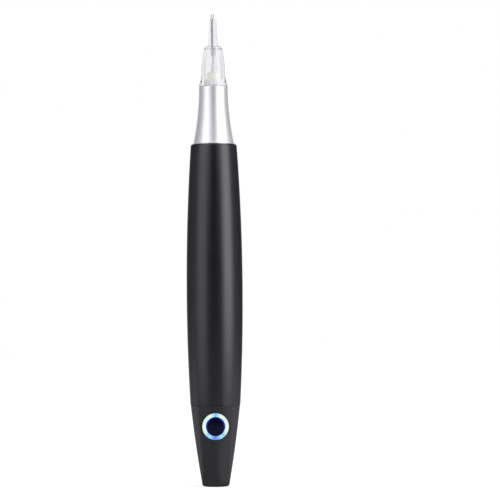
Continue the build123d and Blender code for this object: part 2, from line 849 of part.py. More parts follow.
# Push rod with its carriage, drilled for the follower and the guide pin
with BuildPart() as push_rod:
    with BuildSketch(Plane.XY.offset(carriage_bottom)):
        Circle(frame_bore_radius - slide_clearance)
    extrude(amount=carriage_thickness)
    with BuildSketch(Plane.XY.offset(carriage_top)):
        Circle(rod_radius)
    extrude(amount=rod_top - carriage_top)
    fillet(rims(push_rod, rod_top, rod_radius), rod_tip_round)
    with BuildSketch(Plane.XY.offset(carriage_bottom)):
        with Locations((0, follower_place)):
            Circle(follower_radius)
        with Locations((0, -guide_pin_place)):
            Circle(guide_pin_radius + slide_clearance)
    extrude(amount=carriage_thickness, mode=Mode.SUBTRACT)
push_rod.part.label = "push_rod"
export_step(push_rod.part, "parts/push_rod.step")

# Hardened follower with a domed end on the cam's ramp
with BuildPart() as cam_follower:
    with BuildSketch(Plane.XY.offset(follower_centre)):
        with Locations((0, follower_place)):
            Circle(follower_radius)
    extrude(amount=carriage_top - follower_centre)
    with Locations((0, follower_place, follower_centre)):
        Sphere(follower_radius)
cam_follower.part.label = "cam_follower"
export_step(cam_follower.part, "parts/cam_follower.step")

# Cap on the drive frame, with the bush and the guide pin
with BuildPart() as drive_cap:
    with BuildSketch(Plane.XY.offset(frame_top)):
        Circle(frame_radius)
    extrude(amount=drive_cap_rim)
    with BuildSketch(Plane.XY.offset(frame_top - drive_cap_rim)):
        Circle(frame_bore_radius)
    extrude(amount=drive_cap_rim)
    with BuildSketch(Plane.XY.offset(frame_top - drive_cap_rim)):
        Circle(bush_radius)
        with Locations((0, -guide_pin_place)):
            Circle(guide_pin_radius)
    extrude(amount=2 * drive_cap_rim, mode=Mode.SUBTRACT)
drive_cap.part.label = "drive_cap"
export_step(drive_cap.part, "parts/drive_cap.step")

with BuildPart() as guide_bush:
    with BuildSketch(Plane.XY.offset(frame_top - drive_cap_rim)):
        Circle(bush_radius)
        Circle(rod_radius + running_clearance, mode=Mode.SUBTRACT)
    extrude(amount=bush_length)
guide_bush.part.label = "guide_bush"
export_step(guide_bush.part, "parts/guide_bush.step")

pin_bottom = cam_peak + cam_disc / 2
with BuildPart() as guide_pin:
    with BuildSketch(Plane.XY.offset(pin_bottom)):
        with Locations((0, -guide_pin_place)):
            Circle(guide_pin_radius)
    extrude(amount=frame_top + drive_cap_rim - pin_bottom)
guide_pin.part.label = "guide_pin"
export_step(guide_pin.part, "parts/guide_pin.step")

# Return spring between the cap and the carriage
return_bottom = carriage_top + return_wire + contact_gap
return_height = frame_top - drive_cap_rim - return_wire - return_bottom
with BuildPart() as return_spring:
    with BuildLine():
        return_path = Helix(
            pitch=return_height / return_turns,
            height=return_height,
            radius=return_radius,
            center=(0, 0, return_bottom),
        )
    with BuildSketch(Plane(origin=return_path @ 0, z_dir=return_path % 0)):
        Circle(return_wire)
    sweep(path=return_path, is_frenet=True)
return_spring.part.label = "return_spring"
export_step(return_spring.part, "parts/return_spring.step")

# Nose cone: flared shell with a collar at its foot, a spigot in the barrel and the shank's bore
cone_bore_radius = shank_radius + thread_clearance
grip_ring_z = cone_top - grip_ring_place
nose_ring_z = barrel_top - nose_ring_drop
spigot_radius = barrel_thread_radius - thread_clearance
throat_top = shank_bottom - throat_end_gap
with BuildPart() as nose_cone:
    with BuildSketch(Plane.XZ):
        with BuildLine():
            Polyline(
                (cone_bore_radius, cone_top),
                (cone_bore_radius, throat_top),
                (cone_throat_radius, throat_top),
                (cone_throat_radius, barrel_top - cone_cavity_drop),
                (cone_cavity_radius, barrel_top - cone_cavity_drop),
                (cone_cavity_radius, cone_bottom),
                (spigot_radius, cone_bottom),
                (spigot_radius, barrel_top),
                (cone_foot_radius, barrel_top),
                (cone_foot_radius, barrel_top + cone_collar_height),
            )
            TangentArc(
                (cone_tip_radius, cone_top),
                (cone_foot_radius, barrel_top + cone_collar_height),
                tangent=(0, -1),
            )
            Line((cone_tip_radius, cone_top), (cone_bore_radius, cone_top))
        make_face()
    revolve(axis=Axis.Z)
    fillet(rims(nose_cone, cone_top, cone_tip_radius), cone_edge_round)
    with BuildSketch(Plane.XZ):
        with Locations((shank_radius + running_clearance + grip_ring_section, grip_ring_z)):
            Rectangle(2 * grip_ring_section + contact_gap, 2 * grip_ring_section + contact_gap)
        with Locations((barrel_thread_radius - nose_ring_section, nose_ring_z)):
            Rectangle(2 * nose_ring_section, 2 * nose_ring_section)
    revolve(axis=Axis.Z, mode=Mode.SUBTRACT)
nose_cone.part.label = "nose_cone"
export_step(nose_cone.part, "parts/nose_cone.step")

with BuildPart() as nose_o_ring:
    with BuildSketch(Plane.XZ):
        with Locations((barrel_thread_radius - nose_ring_section, nose_ring_z)):
            Circle(nose_ring_section - contact_gap)
    revolve(axis=Axis.Z)
nose_o_ring.part.label = "nose_o_ring"
export_step(nose_o_ring.part, "parts/nose_o_ring.step")

with BuildPart() as cartridge_grip_ring:
    with BuildSketch(Plane.XZ):
        with Locations((shank_radius + running_clearance + grip_ring_section, grip_ring_z)):
            Circle(grip_ring_section)
    revolve(axis=Axis.Z)
cartridge_grip_ring.part.label = "cartridge_grip_ring"
export_step(cartridge_grip_ring.part, "parts/cartridge_grip_ring.step")

# Clear tip of the cartridge: base flange, flared cup, shoulder and nozzle, ribbed inside
roof_bottom = shoulder_z - roof_thickness
lip_top = cone_top + flange_height / 2
with BuildPart() as cartridge_tip:
    with BuildSketch(Plane.XZ):
        with BuildLine():
            Polyline(
                (0, cone_top),
                (flange_radius, cone_top),
                (flange_radius, lip_top),
                (flange_lip_radius, flange_top),
            )
            TangentArc(
                (waist_radius, waist_bottom), (flange_lip_radius, flange_top), tangent=(0, -1)
            )
            Polyline(
                (waist_radius, waist_bottom),
                (waist_radius, waist_top),
                (shoulder_radius, shoulder_z),
                (nozzle_root_radius, shoulder_z),
                (nozzle_tip_radius, nozzle_top),
                (0, nozzle_top),
                (0, cone_top),
            )
        make_face()
    revolve(axis=Axis.Z)
    fillet(rims(cartridge_tip, shoulder_z, shoulder_radius), shoulder_round)
    fillet(rims(cartridge_tip, lip_top, flange_radius), flange_edge_round)
    with BuildSketch(Plane.XZ):
        with BuildLine():
            Polyline(
                (0, cone_top),
                (tip_bore_radius, cone_top),
                (tip_bore_radius, waist_top),
                (shoulder_radius - tip_wall, roof_bottom),
                (nozzle_bore_root, roof_bottom),
                (nozzle_bore_tip, nozzle_top),
                (0, nozzle_top),
                close=True,
            )
        make_face()
    revolve(axis=Axis.Z, mode=Mode.SUBTRACT)
    with BuildSketch(Plane.XY.offset(waist_top - rib_length)):
        with PolarLocations(tip_bore_radius + (part_gap - rib_depth) / 2, rib_count):
            Rectangle(rib_depth + part_gap, rib_width)
    extrude(amount=rib_length)
    with BuildSketch(Plane.XY.offset(shoulder_z + window_bottom)):
        with Locations((nozzle_root_radius, 0)):
            Rectangle(2 * nozzle_root_radius, window_width)
    extrude(amount=window_length, mode=Mode.SUBTRACT)
cartridge_tip.part.label = "cartridge_tip"
export_step(cartridge_tip.part, "parts/cartridge_tip.step")

# Rear tube of the cartridge, plugged into the clear tip and seated in the cone
guide_radius = plunger_foot_radius + thread_clearance
spigot_end = cone_top + shank_spigot
with BuildPart() as cartridge_shank:
    with BuildSketch(Plane.XY.offset(shank_bottom)):
        Circle(shank_radius)
    extrude(amount=shank_length)
    with BuildSketch(Plane.XY.offset(cone_top)):
        Circle(tip_bore_radius)
    extrude(amount=shank_spigot)
    with BuildSketch(Plane.XY.offset(shank_bottom)):
        Circle(shank_bore_radius)
    extrude(amount=shank_bore_depth, mode=Mode.SUBTRACT)
    with BuildSketch(Plane.XY.offset(shank_bottom)):
        Circle(guide_radius)
    extrude(amount=shank_length + shank_spigot, mode=Mode.SUBTRACT)
cartridge_shank.part.label = "cartridge_shank"
export_step(cartridge_shank.part, "parts/cartridge_shank.step")

# Silicone bell that seals the plunger and pulls it back
bell_top = spigot_end + membrane_height
bell_bore = plunger_radius + contact_gap
with BuildPart() as cartridge_membrane:
    with BuildSketch(Plane.XY.offset(spigot_end)):
        Circle(membrane_radius)
    extrude(amount=membrane_height)
    fillet(rims(cartridge_membrane, bell_top, membrane_radius), membrane_round)
    with BuildSketch(Plane.XY.offset(spigot_end)):
        Circle(tip_bore_radius - contact_gap)
    extrude(amount=membrane_wall)
    with BuildSketch(Plane.XY.offset(spigot_end)):
        Circle(membrane_radius - membrane_wall)
    extrude(amount=membrane_height - membrane_wall, mode=Mode.SUBTRACT)
    with BuildSketch(Plane.XY.offset(spigot_end)):
        Circle(bell_bore)
    extrude(amount=membrane_height, mode=Mode.SUBTRACT)
cartridge_membrane.part.label = "cartridge_membrane"
export_step(cartridge_membrane.part, "parts/cartridge_membrane.step")

# Plunger: head that the push rod meets, guided foot and thin stem
plunger_end = cone_top + plunger_top
with BuildPart() as plunger:
    with BuildSketch(Plane.XY.offset(plunger_bottom)):
        Circle(plunger_head_radius)
    extrude(amount=plunger_head)
    with BuildSketch(Plane.XY.offset(plunger_bottom)):
        Circle(plunger_foot_radius)
    extrude(amount=spigot_end - plunger_bottom)
    with BuildSketch(Plane.XY.offset(spigot_end)):
        Circle(plunger_radius)
    extrude(amount=plunger_end - spigot_end)
    with BuildSketch(Plane.XY.offset(plunger_end)):
        Circle(bar_radius)
    extrude(amount=-bar_seat, mode=Mode.SUBTRACT)
plunger.part.label = "plunger"
export_step(plunger.part, "parts/plunger.step")

# Needle bar, from the plunger into the holder
bar_bottom = plunger_end - bar_seat
holder_bottom = plunger_end + bar_length
holder_top = holder_bottom + holder_length
with BuildPart() as needle_bar:
    with BuildSketch(Plane.XY.offset(bar_bottom)):
        Circle(bar_radius)
    extrude(amount=holder_bottom + bar_seat - bar_bottom)
needle_bar.part.label = "needle_bar"
export_step(needle_bar.part, "parts/needle_bar.step")

# Holder block, drilled for the bar and for both needles
needle_xs = (needle_offset - needle_pitch, needle_offset + needle_pitch)
needle_bottom = holder_top - needle_seat
with BuildPart() as needle_holder:
    with BuildSketch(Plane.XY.offset(holder_bottom)):
        Circle(holder_radius)
    extrude(amount=holder_length)
    with BuildSketch(Plane.XY.offset(holder_bottom)):
        Circle(bar_radius)
    extrude(amount=bar_seat, mode=Mode.SUBTRACT)
    with BuildSketch(Plane.XY.offset(needle_bottom)):
        for x in needle_xs:
            with Locations((x, 0)):
                Circle(needle_radius)
    extrude(amount=needle_seat, mode=Mode.SUBTRACT)
needle_holder.part.label = "needle_holder"
export_step(needle_holder.part, "parts/needle_holder.step")

# Two needles whose points spread in a slight V
needle_points = needle_top - needle_point_length
with BuildPart() as needles:
    for x, lean in zip(needle_xs, (needle_left_lean, needle_right_lean)):
        with BuildSketch(Plane.XY.offset(needle_bottom)):
            with Locations((x, 0)):
                Circle(needle_radius)
        extrude(amount=needle_points - needle_bottom)
        with BuildSketch(Plane.XY.offset(needle_points)):
            with Locations((x, 0)):
                Circle(needle_radius)
        with BuildSketch(Plane.XY.offset(needle_top)):
            with Locations((x + lean, 0)):
                Circle(needle_point)
        loft()
needles.part.label = "needles"
export_step(needles.part, "parts/needles.step")
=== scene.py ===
"""Permanent makeup pen: the looks of every piece, in metres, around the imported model.

The pen stands on its tail with the needle up. +Z runs along it and the button faces -Y.
"""

from math import acos, asin, atan, atan2, cos, hypot, pi, radians, sin, tan

import bpy
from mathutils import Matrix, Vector


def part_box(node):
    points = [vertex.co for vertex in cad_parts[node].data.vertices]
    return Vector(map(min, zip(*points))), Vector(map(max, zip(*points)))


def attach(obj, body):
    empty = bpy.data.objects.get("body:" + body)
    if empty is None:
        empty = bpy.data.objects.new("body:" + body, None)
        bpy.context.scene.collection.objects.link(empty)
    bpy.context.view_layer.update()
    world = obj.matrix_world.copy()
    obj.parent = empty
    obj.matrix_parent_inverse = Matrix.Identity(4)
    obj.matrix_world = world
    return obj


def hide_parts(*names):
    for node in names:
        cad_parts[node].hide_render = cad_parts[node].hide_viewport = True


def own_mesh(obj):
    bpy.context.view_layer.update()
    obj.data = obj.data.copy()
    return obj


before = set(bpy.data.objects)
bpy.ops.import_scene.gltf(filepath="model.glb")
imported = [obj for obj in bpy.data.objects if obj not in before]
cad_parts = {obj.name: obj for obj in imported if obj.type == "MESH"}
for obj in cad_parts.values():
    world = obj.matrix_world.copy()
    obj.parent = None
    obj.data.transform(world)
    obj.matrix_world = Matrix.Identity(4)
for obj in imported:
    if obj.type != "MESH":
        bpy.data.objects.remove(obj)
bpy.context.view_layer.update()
mm = 0.001

# The photograph: a long lens in front of the pen, a little below its middle and slightly tilted, aimed
# past the pen's right side, 500 pixels across at 0.3387 mm to the pixel where the pen stands.
photo_width_px = 500
pen_foot_px = 485.4
pen_middle_px = 214.7
photo_scale = 0.3387 * mm
camera_distance = 765 * mm
camera_height = 65 * mm
camera_tilt = radians(0.40)
sensor_width = 36.0

middle_height = (pen_foot_px - photo_width_px / 2) * photo_scale
aim_up = atan((middle_height - camera_height) / camera_distance)
aim_right = atan((photo_width_px / 2 - pen_middle_px) * photo_scale / camera_distance)
bpy.ops.object.camera_add(location=(0, -camera_distance, camera_height),
                          rotation=(pi / 2 + aim_up, camera_tilt, -aim_right))
camera = bpy.context.object
camera.name = "camera"
camera.data.sensor_width = sensor_width
camera.data.lens = sensor_width * camera_distance / (photo_scale * photo_width_px)
bpy.context.scene.camera = camera

# Tail cap: a tapered cup turned from aluminium bar, blasted and anodised black. It screws into the
# barrel. Its front has a spot-face and a boss for the button, and its end a hole for the charger.
tail_end_radius = 4.5 * mm
tail_mid_radius = 6.68 * mm
tail_seam_radius = 8.36 * mm
tail_edge_round = 0.9 * mm
seam_break = 0.04 * mm
seam_gap = 0.09 * mm
spigot_radius = 7.45 * mm
tail_bore_radius = 6.2 * mm
tail_floor_radius = 3.7 * mm
tail_floor = 2.5 * mm
tail_straight = 6.6 * mm
socket_hole_radius = 2.8 * mm
boss_radius = 5.02 * mm
boss_back = 4.2 * mm
spot_radius = 4.6 * mm
spot_depth = 5.75 * mm
spigot_hole_radius = 3.95 * mm
hole_run_in = 1 * mm
out_of_wall = 12 * mm
seam_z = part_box("barrel")[0].z
spigot_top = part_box("tail_cap")[1].z
button_z = (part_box("button_bezel")[0].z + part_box("button_bezel")[1].z) / 2
turned_sides = 192
same_point = 0.0005 * mm
flat_angle = radians(30)


def arc_through(start, middle, end, steps):
    """The points of the arc through three points of an outline, without its start."""
    (ax, ay), (bx, by), (cx, cy) = start, middle, end
    double = 2 * (ax * (by - cy) + bx * (cy - ay) + cx * (ay - by))
    squares = [x * x + y * y for x, y in (start, middle, end)]
    ox = (squares[0] * (by - cy) + squares[1] * (cy - ay) + squares[2] * (ay - by)) / double
    oy = (squares[0] * (cx - bx) + squares[1] * (ax - cx) + squares[2] * (bx - ax)) / double
    radius = hypot(ax - ox, ay - oy)
    first, last = atan2(ay - oy, ax - ox), atan2(cy - oy, cx - ox)
    return [(ox + radius * cos(first + (last - first) * i / steps),
             oy + radius * sin(first + (last - first) * i / steps)) for i in range(1, steps + 1)]


def upright_arc(upright, other, steps):
    """The points of the arc that leaves its first point straight up or down, without that point."""
    across, along = upright[0] - other[0], other[1] - upright[1]
    bend = (across * across + along * along) / (2 * across)
    turns = [asin(along / bend) * i / steps for i in range(1, steps + 1)]
    return [(upright[0] - bend * (1 - cos(turn)), upright[1] + bend * sin(turn)) for turn in turns]


def rounded(before, corner, after, radius, steps=6):
    """A corner of an outline with its edge rounded off.

    On a long side a point beside the round keeps the smooth shading from spreading along that side.
    """
    here = Vector(corner)
    back, ahead = (Vector(before) - here).normalized(), (Vector(after) - here).normalized()
    half = acos(max(-1.0, min(1.0, back.dot(ahead)))) / 2
    reach = radius / tan(half)
    hold = reach + radius / 2
    centre = here + (back + ahead).normalized() * radius / sin(half)
    first, last = here + back * reach, here + ahead * reach
    points = []
    if (Vector(before) - here).length > 3 * hold:
        points.append(tuple(here + back * hold))
    for i in range(steps + 1):
        spoke = (first - centre).lerp(last - centre, i / steps).normalized() * radius
        points.append((centre.x + spoke.x, centre.y + spoke.y))
    if (Vector(after) - here).length > 3 * hold:
        points.append(tuple(here + ahead * hold))
    return points


def turned(name, outline, ring=True, sides=turned_sides):
    """A piece turned on the lathe: its outline of (radius, height) goes once round the Z axis.

    A ring's outline closes on itself, and any other outline is filled in flat at both ends.
    """
    bpy.ops.object.select_all(action="DESELECT")
    radius, height = outline[0]
    bpy.ops.mesh.primitive_circle_add(vertices=sides, radius=radius, location=(0, 0, height))
    piece = bpy.context.object
    piece.name = piece.data.name = name
    bpy.ops.object.transform_apply(location=True, rotation=True, scale=True)
    bpy.ops.object.mode_set(mode="EDIT")
    bpy.ops.mesh.select_all(action="SELECT")
    for next_radius, next_height in outline[1:] + (outline[:1] if ring else []):
        bpy.ops.mesh.extrude_region_move(TRANSFORM_OT_translate={"value": (0, 0, next_height - height)})
        share = next_radius / radius
        bpy.ops.transform.resize(value=(share, share, 1), center_override=(0, 0, next_height))
        radius, height = next_radius, next_height
    bpy.ops.mesh.select_all(action="SELECT")
    bpy.ops.mesh.remove_doubles(threshold=same_point)
    if not ring:
        bpy.ops.mesh.fill_holes(sides=0)
    bpy.ops.mesh.select_all(action="SELECT")
    bpy.ops.mesh.normals_make_consistent(inside=False)
    bpy.ops.object.mode_set(mode="OBJECT")
    bpy.ops.object.shade_smooth_by_angle(angle=flat_angle)
    return piece


def lay_on_button_axis(piece):
    """Turns a piece made round Z to face the front, on the button's axis."""
    bpy.ops.object.select_all(action="DESELECT")
    piece.select_set(True)
    bpy.context.view_layer.objects.active = piece
    piece.rotation_euler = (pi / 2, 0, 0)
    piece.location = (0, 0, button_z)
    bpy.ops.object.transform_apply(location=True, rotation=True, scale=True)
    return piece


def cut(piece, tool, operation):
    """Joins a tool's shape to a piece, or cuts it away, and takes the tool off the bench."""
    bpy.ops.object.select_all(action="DESELECT")
    piece.select_set(True)
    bpy.context.view_layer.objects.active = piece
    step = piece.modifiers.new(operation.lower(), "BOOLEAN")
    step.operation = operation
    step.solver = "EXACT"
    step.object = tool
    bpy.ops.object.modifier_apply(modifier=step.name)
    bpy.data.objects.remove(tool)
    bpy.ops.object.shade_smooth_by_angle(angle=flat_angle)


tail_side = arc_through((tail_end_radius, 0), (tail_mid_radius, seam_z / 2),
                        (tail_seam_radius, seam_z - seam_gap), steps=24)
tail_cap = turned("tail_cap_turned", [
    (socket_hole_radius, 0),
    *rounded((socket_hole_radius, 0), (tail_end_radius, 0), tail_side[0], tail_edge_round),
    *tail_side[:-1],
    *rounded(tail_side[-2], tail_side[-1], (spigot_radius, seam_z - seam_gap), seam_break, steps=3),
    (spigot_radius, seam_z - seam_gap),
    (spigot_radius, spigot_top),
    (tail_bore_radius, spigot_top),
    (tail_bore_radius, seam_z - tail_straight),
    (tail_floor_radius, tail_floor),
    (socket_hole_radius, tail_floor),
])
for name, radius, back, front, operation in (
    ("boss", boss_radius, boss_back, spot_depth, "UNION"),
    ("spot_face", spot_radius, spot_depth, out_of_wall, "DIFFERENCE"),
    ("spigot_hole", spigot_hole_radius, boss_back - hole_run_in, out_of_wall, "DIFFERENCE"),
):
    tool = turned(name, [(radius, back), (radius, front)], ring=False)
    cut(tail_cap, lay_on_button_axis(tool), operation)


def new_material(name):
    """A material with its shader, ready to be wired."""
    made = bpy.data.materials.new(name)
    made.use_nodes = True
    return made, made.node_tree.nodes, made.node_tree.links, made.node_tree.nodes["Principled BSDF"]


def new_group(name, inputs, outputs):
    """A shader node group with named sockets. Inputs are {name: (type, default)}."""
    made = bpy.data.node_groups.new(name, "ShaderNodeTree")
    for label, (kind, default) in inputs.items():
        socket = made.interface.new_socket(label, in_out="INPUT", socket_type=kind)
        if default is not None:
            socket.default_value = default
    for label in outputs:
        made.interface.new_socket(label, in_out="OUTPUT", socket_type="NodeSocketFloat")
    given, result = made.nodes.new("NodeGroupInput"), made.nodes.new("NodeGroupOutput")
    return made, made.nodes, made.links, given, result


def math_node(nodes, links, operation, first, second=None, clamp=False):
    """A Math node on one or two sockets or numbers. Gives back its result's socket."""
    made = nodes.new("ShaderNodeMath")
    made.operation = operation
    made.use_clamp = clamp
    for place, value in zip(made.inputs, (first, second)):
        if isinstance(value, bpy.types.NodeSocket):
            links.new(value, place)
        elif value is not None:
            place.default_value = value
    return made.outputs[0]


# The blasted surface: a fine even grain, with faint larger clouds from the dye.
blasted, nodes, links, given, result = new_group(
    "blasted grain",
    {"Vector": ("NodeSocketVector", None), "Grains per metre": ("NodeSocketFloat", 9000.0)},
    ("Height", "Clouds"),
)
grain = nodes.new("ShaderNodeTexNoise")
grain.inputs["Detail"].default_value = 3.0
links.new(given.outputs["Vector"], grain.inputs["Vector"])
links.new(given.outputs["Grains per metre"], grain.inputs["Scale"])
clouds = nodes.new("ShaderNodeTexNoise")
clouds.inputs["Scale"].default_value = 160.0
clouds.inputs["Detail"].default_value = 4.0
links.new(given.outputs["Vector"], clouds.inputs["Vector"])
links.new(grain.outputs["Fac"], result.inputs["Height"])
links.new(clouds.outputs["Fac"], result.inputs["Clouds"])

# Lathe marks: fine rings, from a noise that reads one length alone, a height or a radius.
lathe_marks, nodes, links, given, result = new_group(
    "lathe marks",
    {"Along": ("NodeSocketFloat", 0.0), "Marks per metre": ("NodeSocketFloat", 6000.0)},
    ("Height",),
)
marks = nodes.new("ShaderNodeTexNoise")
marks.noise_dimensions = "1D"
marks.inputs["Detail"].default_value = 2.0
links.new(given.outputs["Along"], marks.inputs["W"])
links.new(given.outputs["Marks per metre"], marks.inputs["Scale"])
links.new(marks.outputs["Fac"], result.inputs["Height"])

# Rim wear: where an edge rubs, in a narrow band round one height, broken up by a noise.
rim_wear, nodes, links, given, result = new_group(
    "rim wear",
    {"Vector": ("NodeSocketVector", None), "Rim height": ("NodeSocketFloat", 0.0),
     "Band": ("NodeSocketFloat", 0.0005)},
    ("Worn",),
)
apart = nodes.new("ShaderNodeSeparateXYZ")
links.new(given.outputs["Vector"], apart.inputs[0])
off_rim = math_node(nodes, links, "ABSOLUTE",
                    math_node(nodes, links, "SUBTRACT", apart.outputs["Z"], given.outputs["Rim height"]))
near = math_node(nodes, links, "SUBTRACT", 1.0,
                 math_node(nodes, links, "DIVIDE", off_rim, given.outputs["Band"]), clamp=True)
rubs = nodes.new("ShaderNodeTexNoise")
rubs.inputs["Scale"].default_value = 1400.0
rubs.inputs["Detail"].default_value = 3.0
links.new(given.outputs["Vector"], rubs.inputs["Vector"])
patches = nodes.new("ShaderNodeMapRange")
patches.inputs["From Min"].default_value = 0.42
patches.inputs["From Max"].default_value = 0.62
links.new(rubs.outputs["Fac"], patches.inputs["Value"])
links.new(math_node(nodes, links, "MULTIPLY", near, patches.outputs[0]), result.inputs["Worn"])


def add_group(nodes, links, group, sources, **values):
    """One use of a node group, with its linked sources and its own values."""
    made = nodes.new("ShaderNodeGroup")
    made.node_tree = group
    for label, socket in sources.items():
        links.new(socket, made.inputs[label])
    for label, value in values.items():
        made.inputs[label.replace("_", " ")].default_value = value
    return made


def between(nodes, links, mask, low, high):
    """Colours or numbers mixed by a mask. Gives back the result's socket."""
    made = nodes.new("ShaderNodeMix")
    is_colour = isinstance(low, tuple)
    made.data_type = "RGBA" if is_colour else "FLOAT"
    links.new(mask, made.inputs["Factor"])
    first, second = (made.inputs[6], made.inputs[7]) if is_colour else (made.inputs[2], made.inputs[3])
    for place, value in ((first, low), (second, high)):
        if isinstance(value, bpy.types.NodeSocket):
            links.new(value, place)
        else:
            place.default_value = value
    return made.outputs[2] if is_colour else made.outputs[0]


def bump(nodes, links, shader, height, distance, strength=1.0):
    """A fine relief on the shader's normal."""
    made = nodes.new("ShaderNodeBump")
    made.inputs["Distance"].default_value = distance
    made.inputs["Strength"].default_value = strength
    links.new(height, made.inputs["Height"])
    links.new(made.outputs["Normal"], shader.inputs["Normal"])


def blend(nodes, links, operation, first, second):
    """Two colours added or multiplied in full. Gives back the result's socket."""
    made = nodes.new("ShaderNodeMix")
    made.data_type = "RGBA"
    made.blend_type = operation
    made.inputs["Factor"].default_value = 1.0
    links.new(first, made.inputs[6])
    links.new(second, made.inputs[7])
    return made.outputs[2]


black_dye, black_dye_paler = (0.060, 0.061, 0.066, 1), (0.071, 0.072, 0.078, 1)
black_gloss_tint = (0.5, 0.5, 0.52, 1)
rubbed_colour = (0.1, 0.1, 0.105, 1)
rubbed_band = 0.35 * mm
rubbed_share = 0.15
blasted_relief = 0.006 * mm


def anodised(name, lower_rim, upper_rim):
    """Black anodised aluminium, blasted first, with its two rims a little rubbed."""
    made, nodes, links, shader = new_material(name)
    place = nodes.new("ShaderNodeTexCoord").outputs["Object"]
    grain = add_group(nodes, links, blasted, {"Vector": place})
    dyed = between(nodes, links, grain.outputs["Clouds"], black_dye, black_dye_paler)
    lower, upper = (
        add_group(nodes, links, rim_wear, {"Vector": place}, Rim_height=rim, Band=rubbed_band)
        for rim in (lower_rim, upper_rim)
    )
    worn = math_node(nodes, links, "MAXIMUM", lower.outputs["Worn"], upper.outputs["Worn"])
    worn = math_node(nodes, links, "MULTIPLY", worn, rubbed_share)
    rubbed = between(nodes, links, worn, (0, 0, 0, 1), rubbed_colour)
    links.new(blend(nodes, links, "ADD", dyed, rubbed), shader.inputs["Base Color"])
    links.new(between(nodes, links, grain.outputs["Clouds"], 0.30, 0.35), shader.inputs["Roughness"])
    shader.inputs["Metallic"].default_value = 1.0
    shader.inputs["Specular Tint"].default_value = black_gloss_tint
    bump(nodes, links, shader, grain.outputs["Height"], blasted_relief, strength=0.5)
    return made


tail_cap.data.materials.append(anodised("tail black anodised", 0.0, seam_z))
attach(tail_cap, "handpiece")
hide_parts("tail_cap")

# Button ring: turned aluminium, dished towards the middle. Its glowing face is painted light:
# a painted reflection of the soft boxes, pale at left and right, and painted blue LED light above and
# below.
# Its spigot is pressed through the cap's wall, and the tool's fine rings show in its face.
bezel_radius = 4.42 * mm
bezel_bore_radius = 3.3 * mm
bezel_spigot_radius = 3.9 * mm
bezel_front = -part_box("button_bezel")[0].y
bezel_dish = 0.3 * mm
bezel_rim = 0.15 * mm
bezel_edge_round = 0.12 * mm
bezel_lip = 0.06 * mm
dish_edge = (bezel_bore_radius, bezel_front - bezel_dish)
dish_rim = (bezel_radius - bezel_rim, bezel_front)
bezel = turned("button_ring", [
    (bezel_bore_radius, boss_back),
    (bezel_spigot_radius, boss_back),
    (bezel_spigot_radius, spot_depth),
    (bezel_radius, spot_depth),
    *rounded((bezel_radius, spot_depth), (bezel_radius, bezel_front), dish_rim, bezel_edge_round),
    dish_rim,
    *rounded(dish_rim, dish_edge, (bezel_bore_radius, boss_back), bezel_lip, steps=4),
])
lay_on_button_axis(bezel)


def round_the_button(nodes, links):
    """Where a point of the button lies: its angle, as a share of a turn, and its radius."""
    place = nodes.new("ShaderNodeTexCoord").outputs["Object"]
    shift = nodes.new("ShaderNodeMapping")
    shift.inputs["Location"].default_value = (0, 0, -button_z)
    links.new(place, shift.inputs["Vector"])
    apart = nodes.new("ShaderNodeSeparateXYZ")
    links.new(shift.outputs[0], apart.inputs[0])
    angle = math_node(nodes, links, "ARCTAN2", apart.outputs["Z"], apart.outputs["X"])
    turns = math_node(nodes, links, "DIVIDE", angle, 2 * pi)
    share = math_node(nodes, links, "FRACT", math_node(nodes, links, "ADD", turns, 1.0))
    flat = nodes.new("ShaderNodeCombineXYZ")
    links.new(apart.outputs["X"], flat.inputs["X"])
    links.new(apart.outputs["Z"], flat.inputs["Z"])
    length = nodes.new("ShaderNodeVectorMath")
    length.operation = "LENGTH"
    links.new(flat.outputs[0], length.inputs[0])
    return share, length.outputs["Value"], place


def colours_round(nodes, links, share, stops):
    """A colour ramp round the button from (share of a turn, colour) stops, closed on itself."""
    ramp = nodes.new("ShaderNodeValToRGB")
    ramp.color_ramp.interpolation = "EASE"
    stops = [*stops, (1.0, stops[0][1])]
    for i, (at, colour) in enumerate(stops):
        stop = ramp.color_ramp.elements[i] if i < 2 else ramp.color_ramp.elements.new(at)
        stop.position = at
        stop.color = (*colour, 1)
    links.new(share, ramp.inputs["Fac"])
    return ramp.outputs["Color"]


# The ring's emission is painted light: a painted reflection of the soft boxes, pale at left and right, and
# painted blue LED light at top and bottom, broken up by the lathe marks.
ring_painted_light, nodes, links, shader = new_material("ring painted light")
share, radius, _ = round_the_button(nodes, links)
ring_metal = (0.10, 0.12, 0.13, 1)
pale, cream, ice = (0.90, 0.99, 0.99), (0.74, 0.93, 0.83), (0.50, 0.84, 0.96)
sky, azure, violet, teal = (0.18, 0.62, 1.0), (0.20, 0.52, 1.0), (0.17, 0.26, 1.0), (0.30, 0.66, 0.98)
emitted_colours = colours_round(nodes, links, share, [
    (0.0, pale), (0.11, cream), (0.17, pale), (0.21, ice), (0.25, sky), (0.29, ice), (0.33, pale),
    (0.37, cream), (0.5, pale), (0.58, cream), (0.63, teal), (0.67, ice), (0.70, azure), (0.745, violet),
    (0.79, azure), (0.83, ice), (0.87, teal), (0.92, cream), (0.95, pale),
])
rings = add_group(nodes, links, lathe_marks, {"Along": radius}, Marks_per_metre=9000.0)
lathe_mark_tone = between(nodes, links, rings.outputs["Height"], (0.82, 0.82, 0.82, 1), (1.0, 1.0, 1.0, 1))
links.new(blend(nodes, links, "MULTIPLY", emitted_colours, lathe_mark_tone), shader.inputs["Emission Color"])
shader.inputs["Emission Strength"].default_value = 1.0
shader.inputs["Metallic"].default_value = 1.0
shader.inputs["Roughness"].default_value = 0.3
shader.inputs["Base Color"].default_value = ring_metal
bump(nodes, links, shader, rings.outputs["Height"], 0.02 * mm, strength=0.6)
bezel.data.materials.append(ring_painted_light)
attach(bezel, "handpiece")
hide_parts("button_bezel")

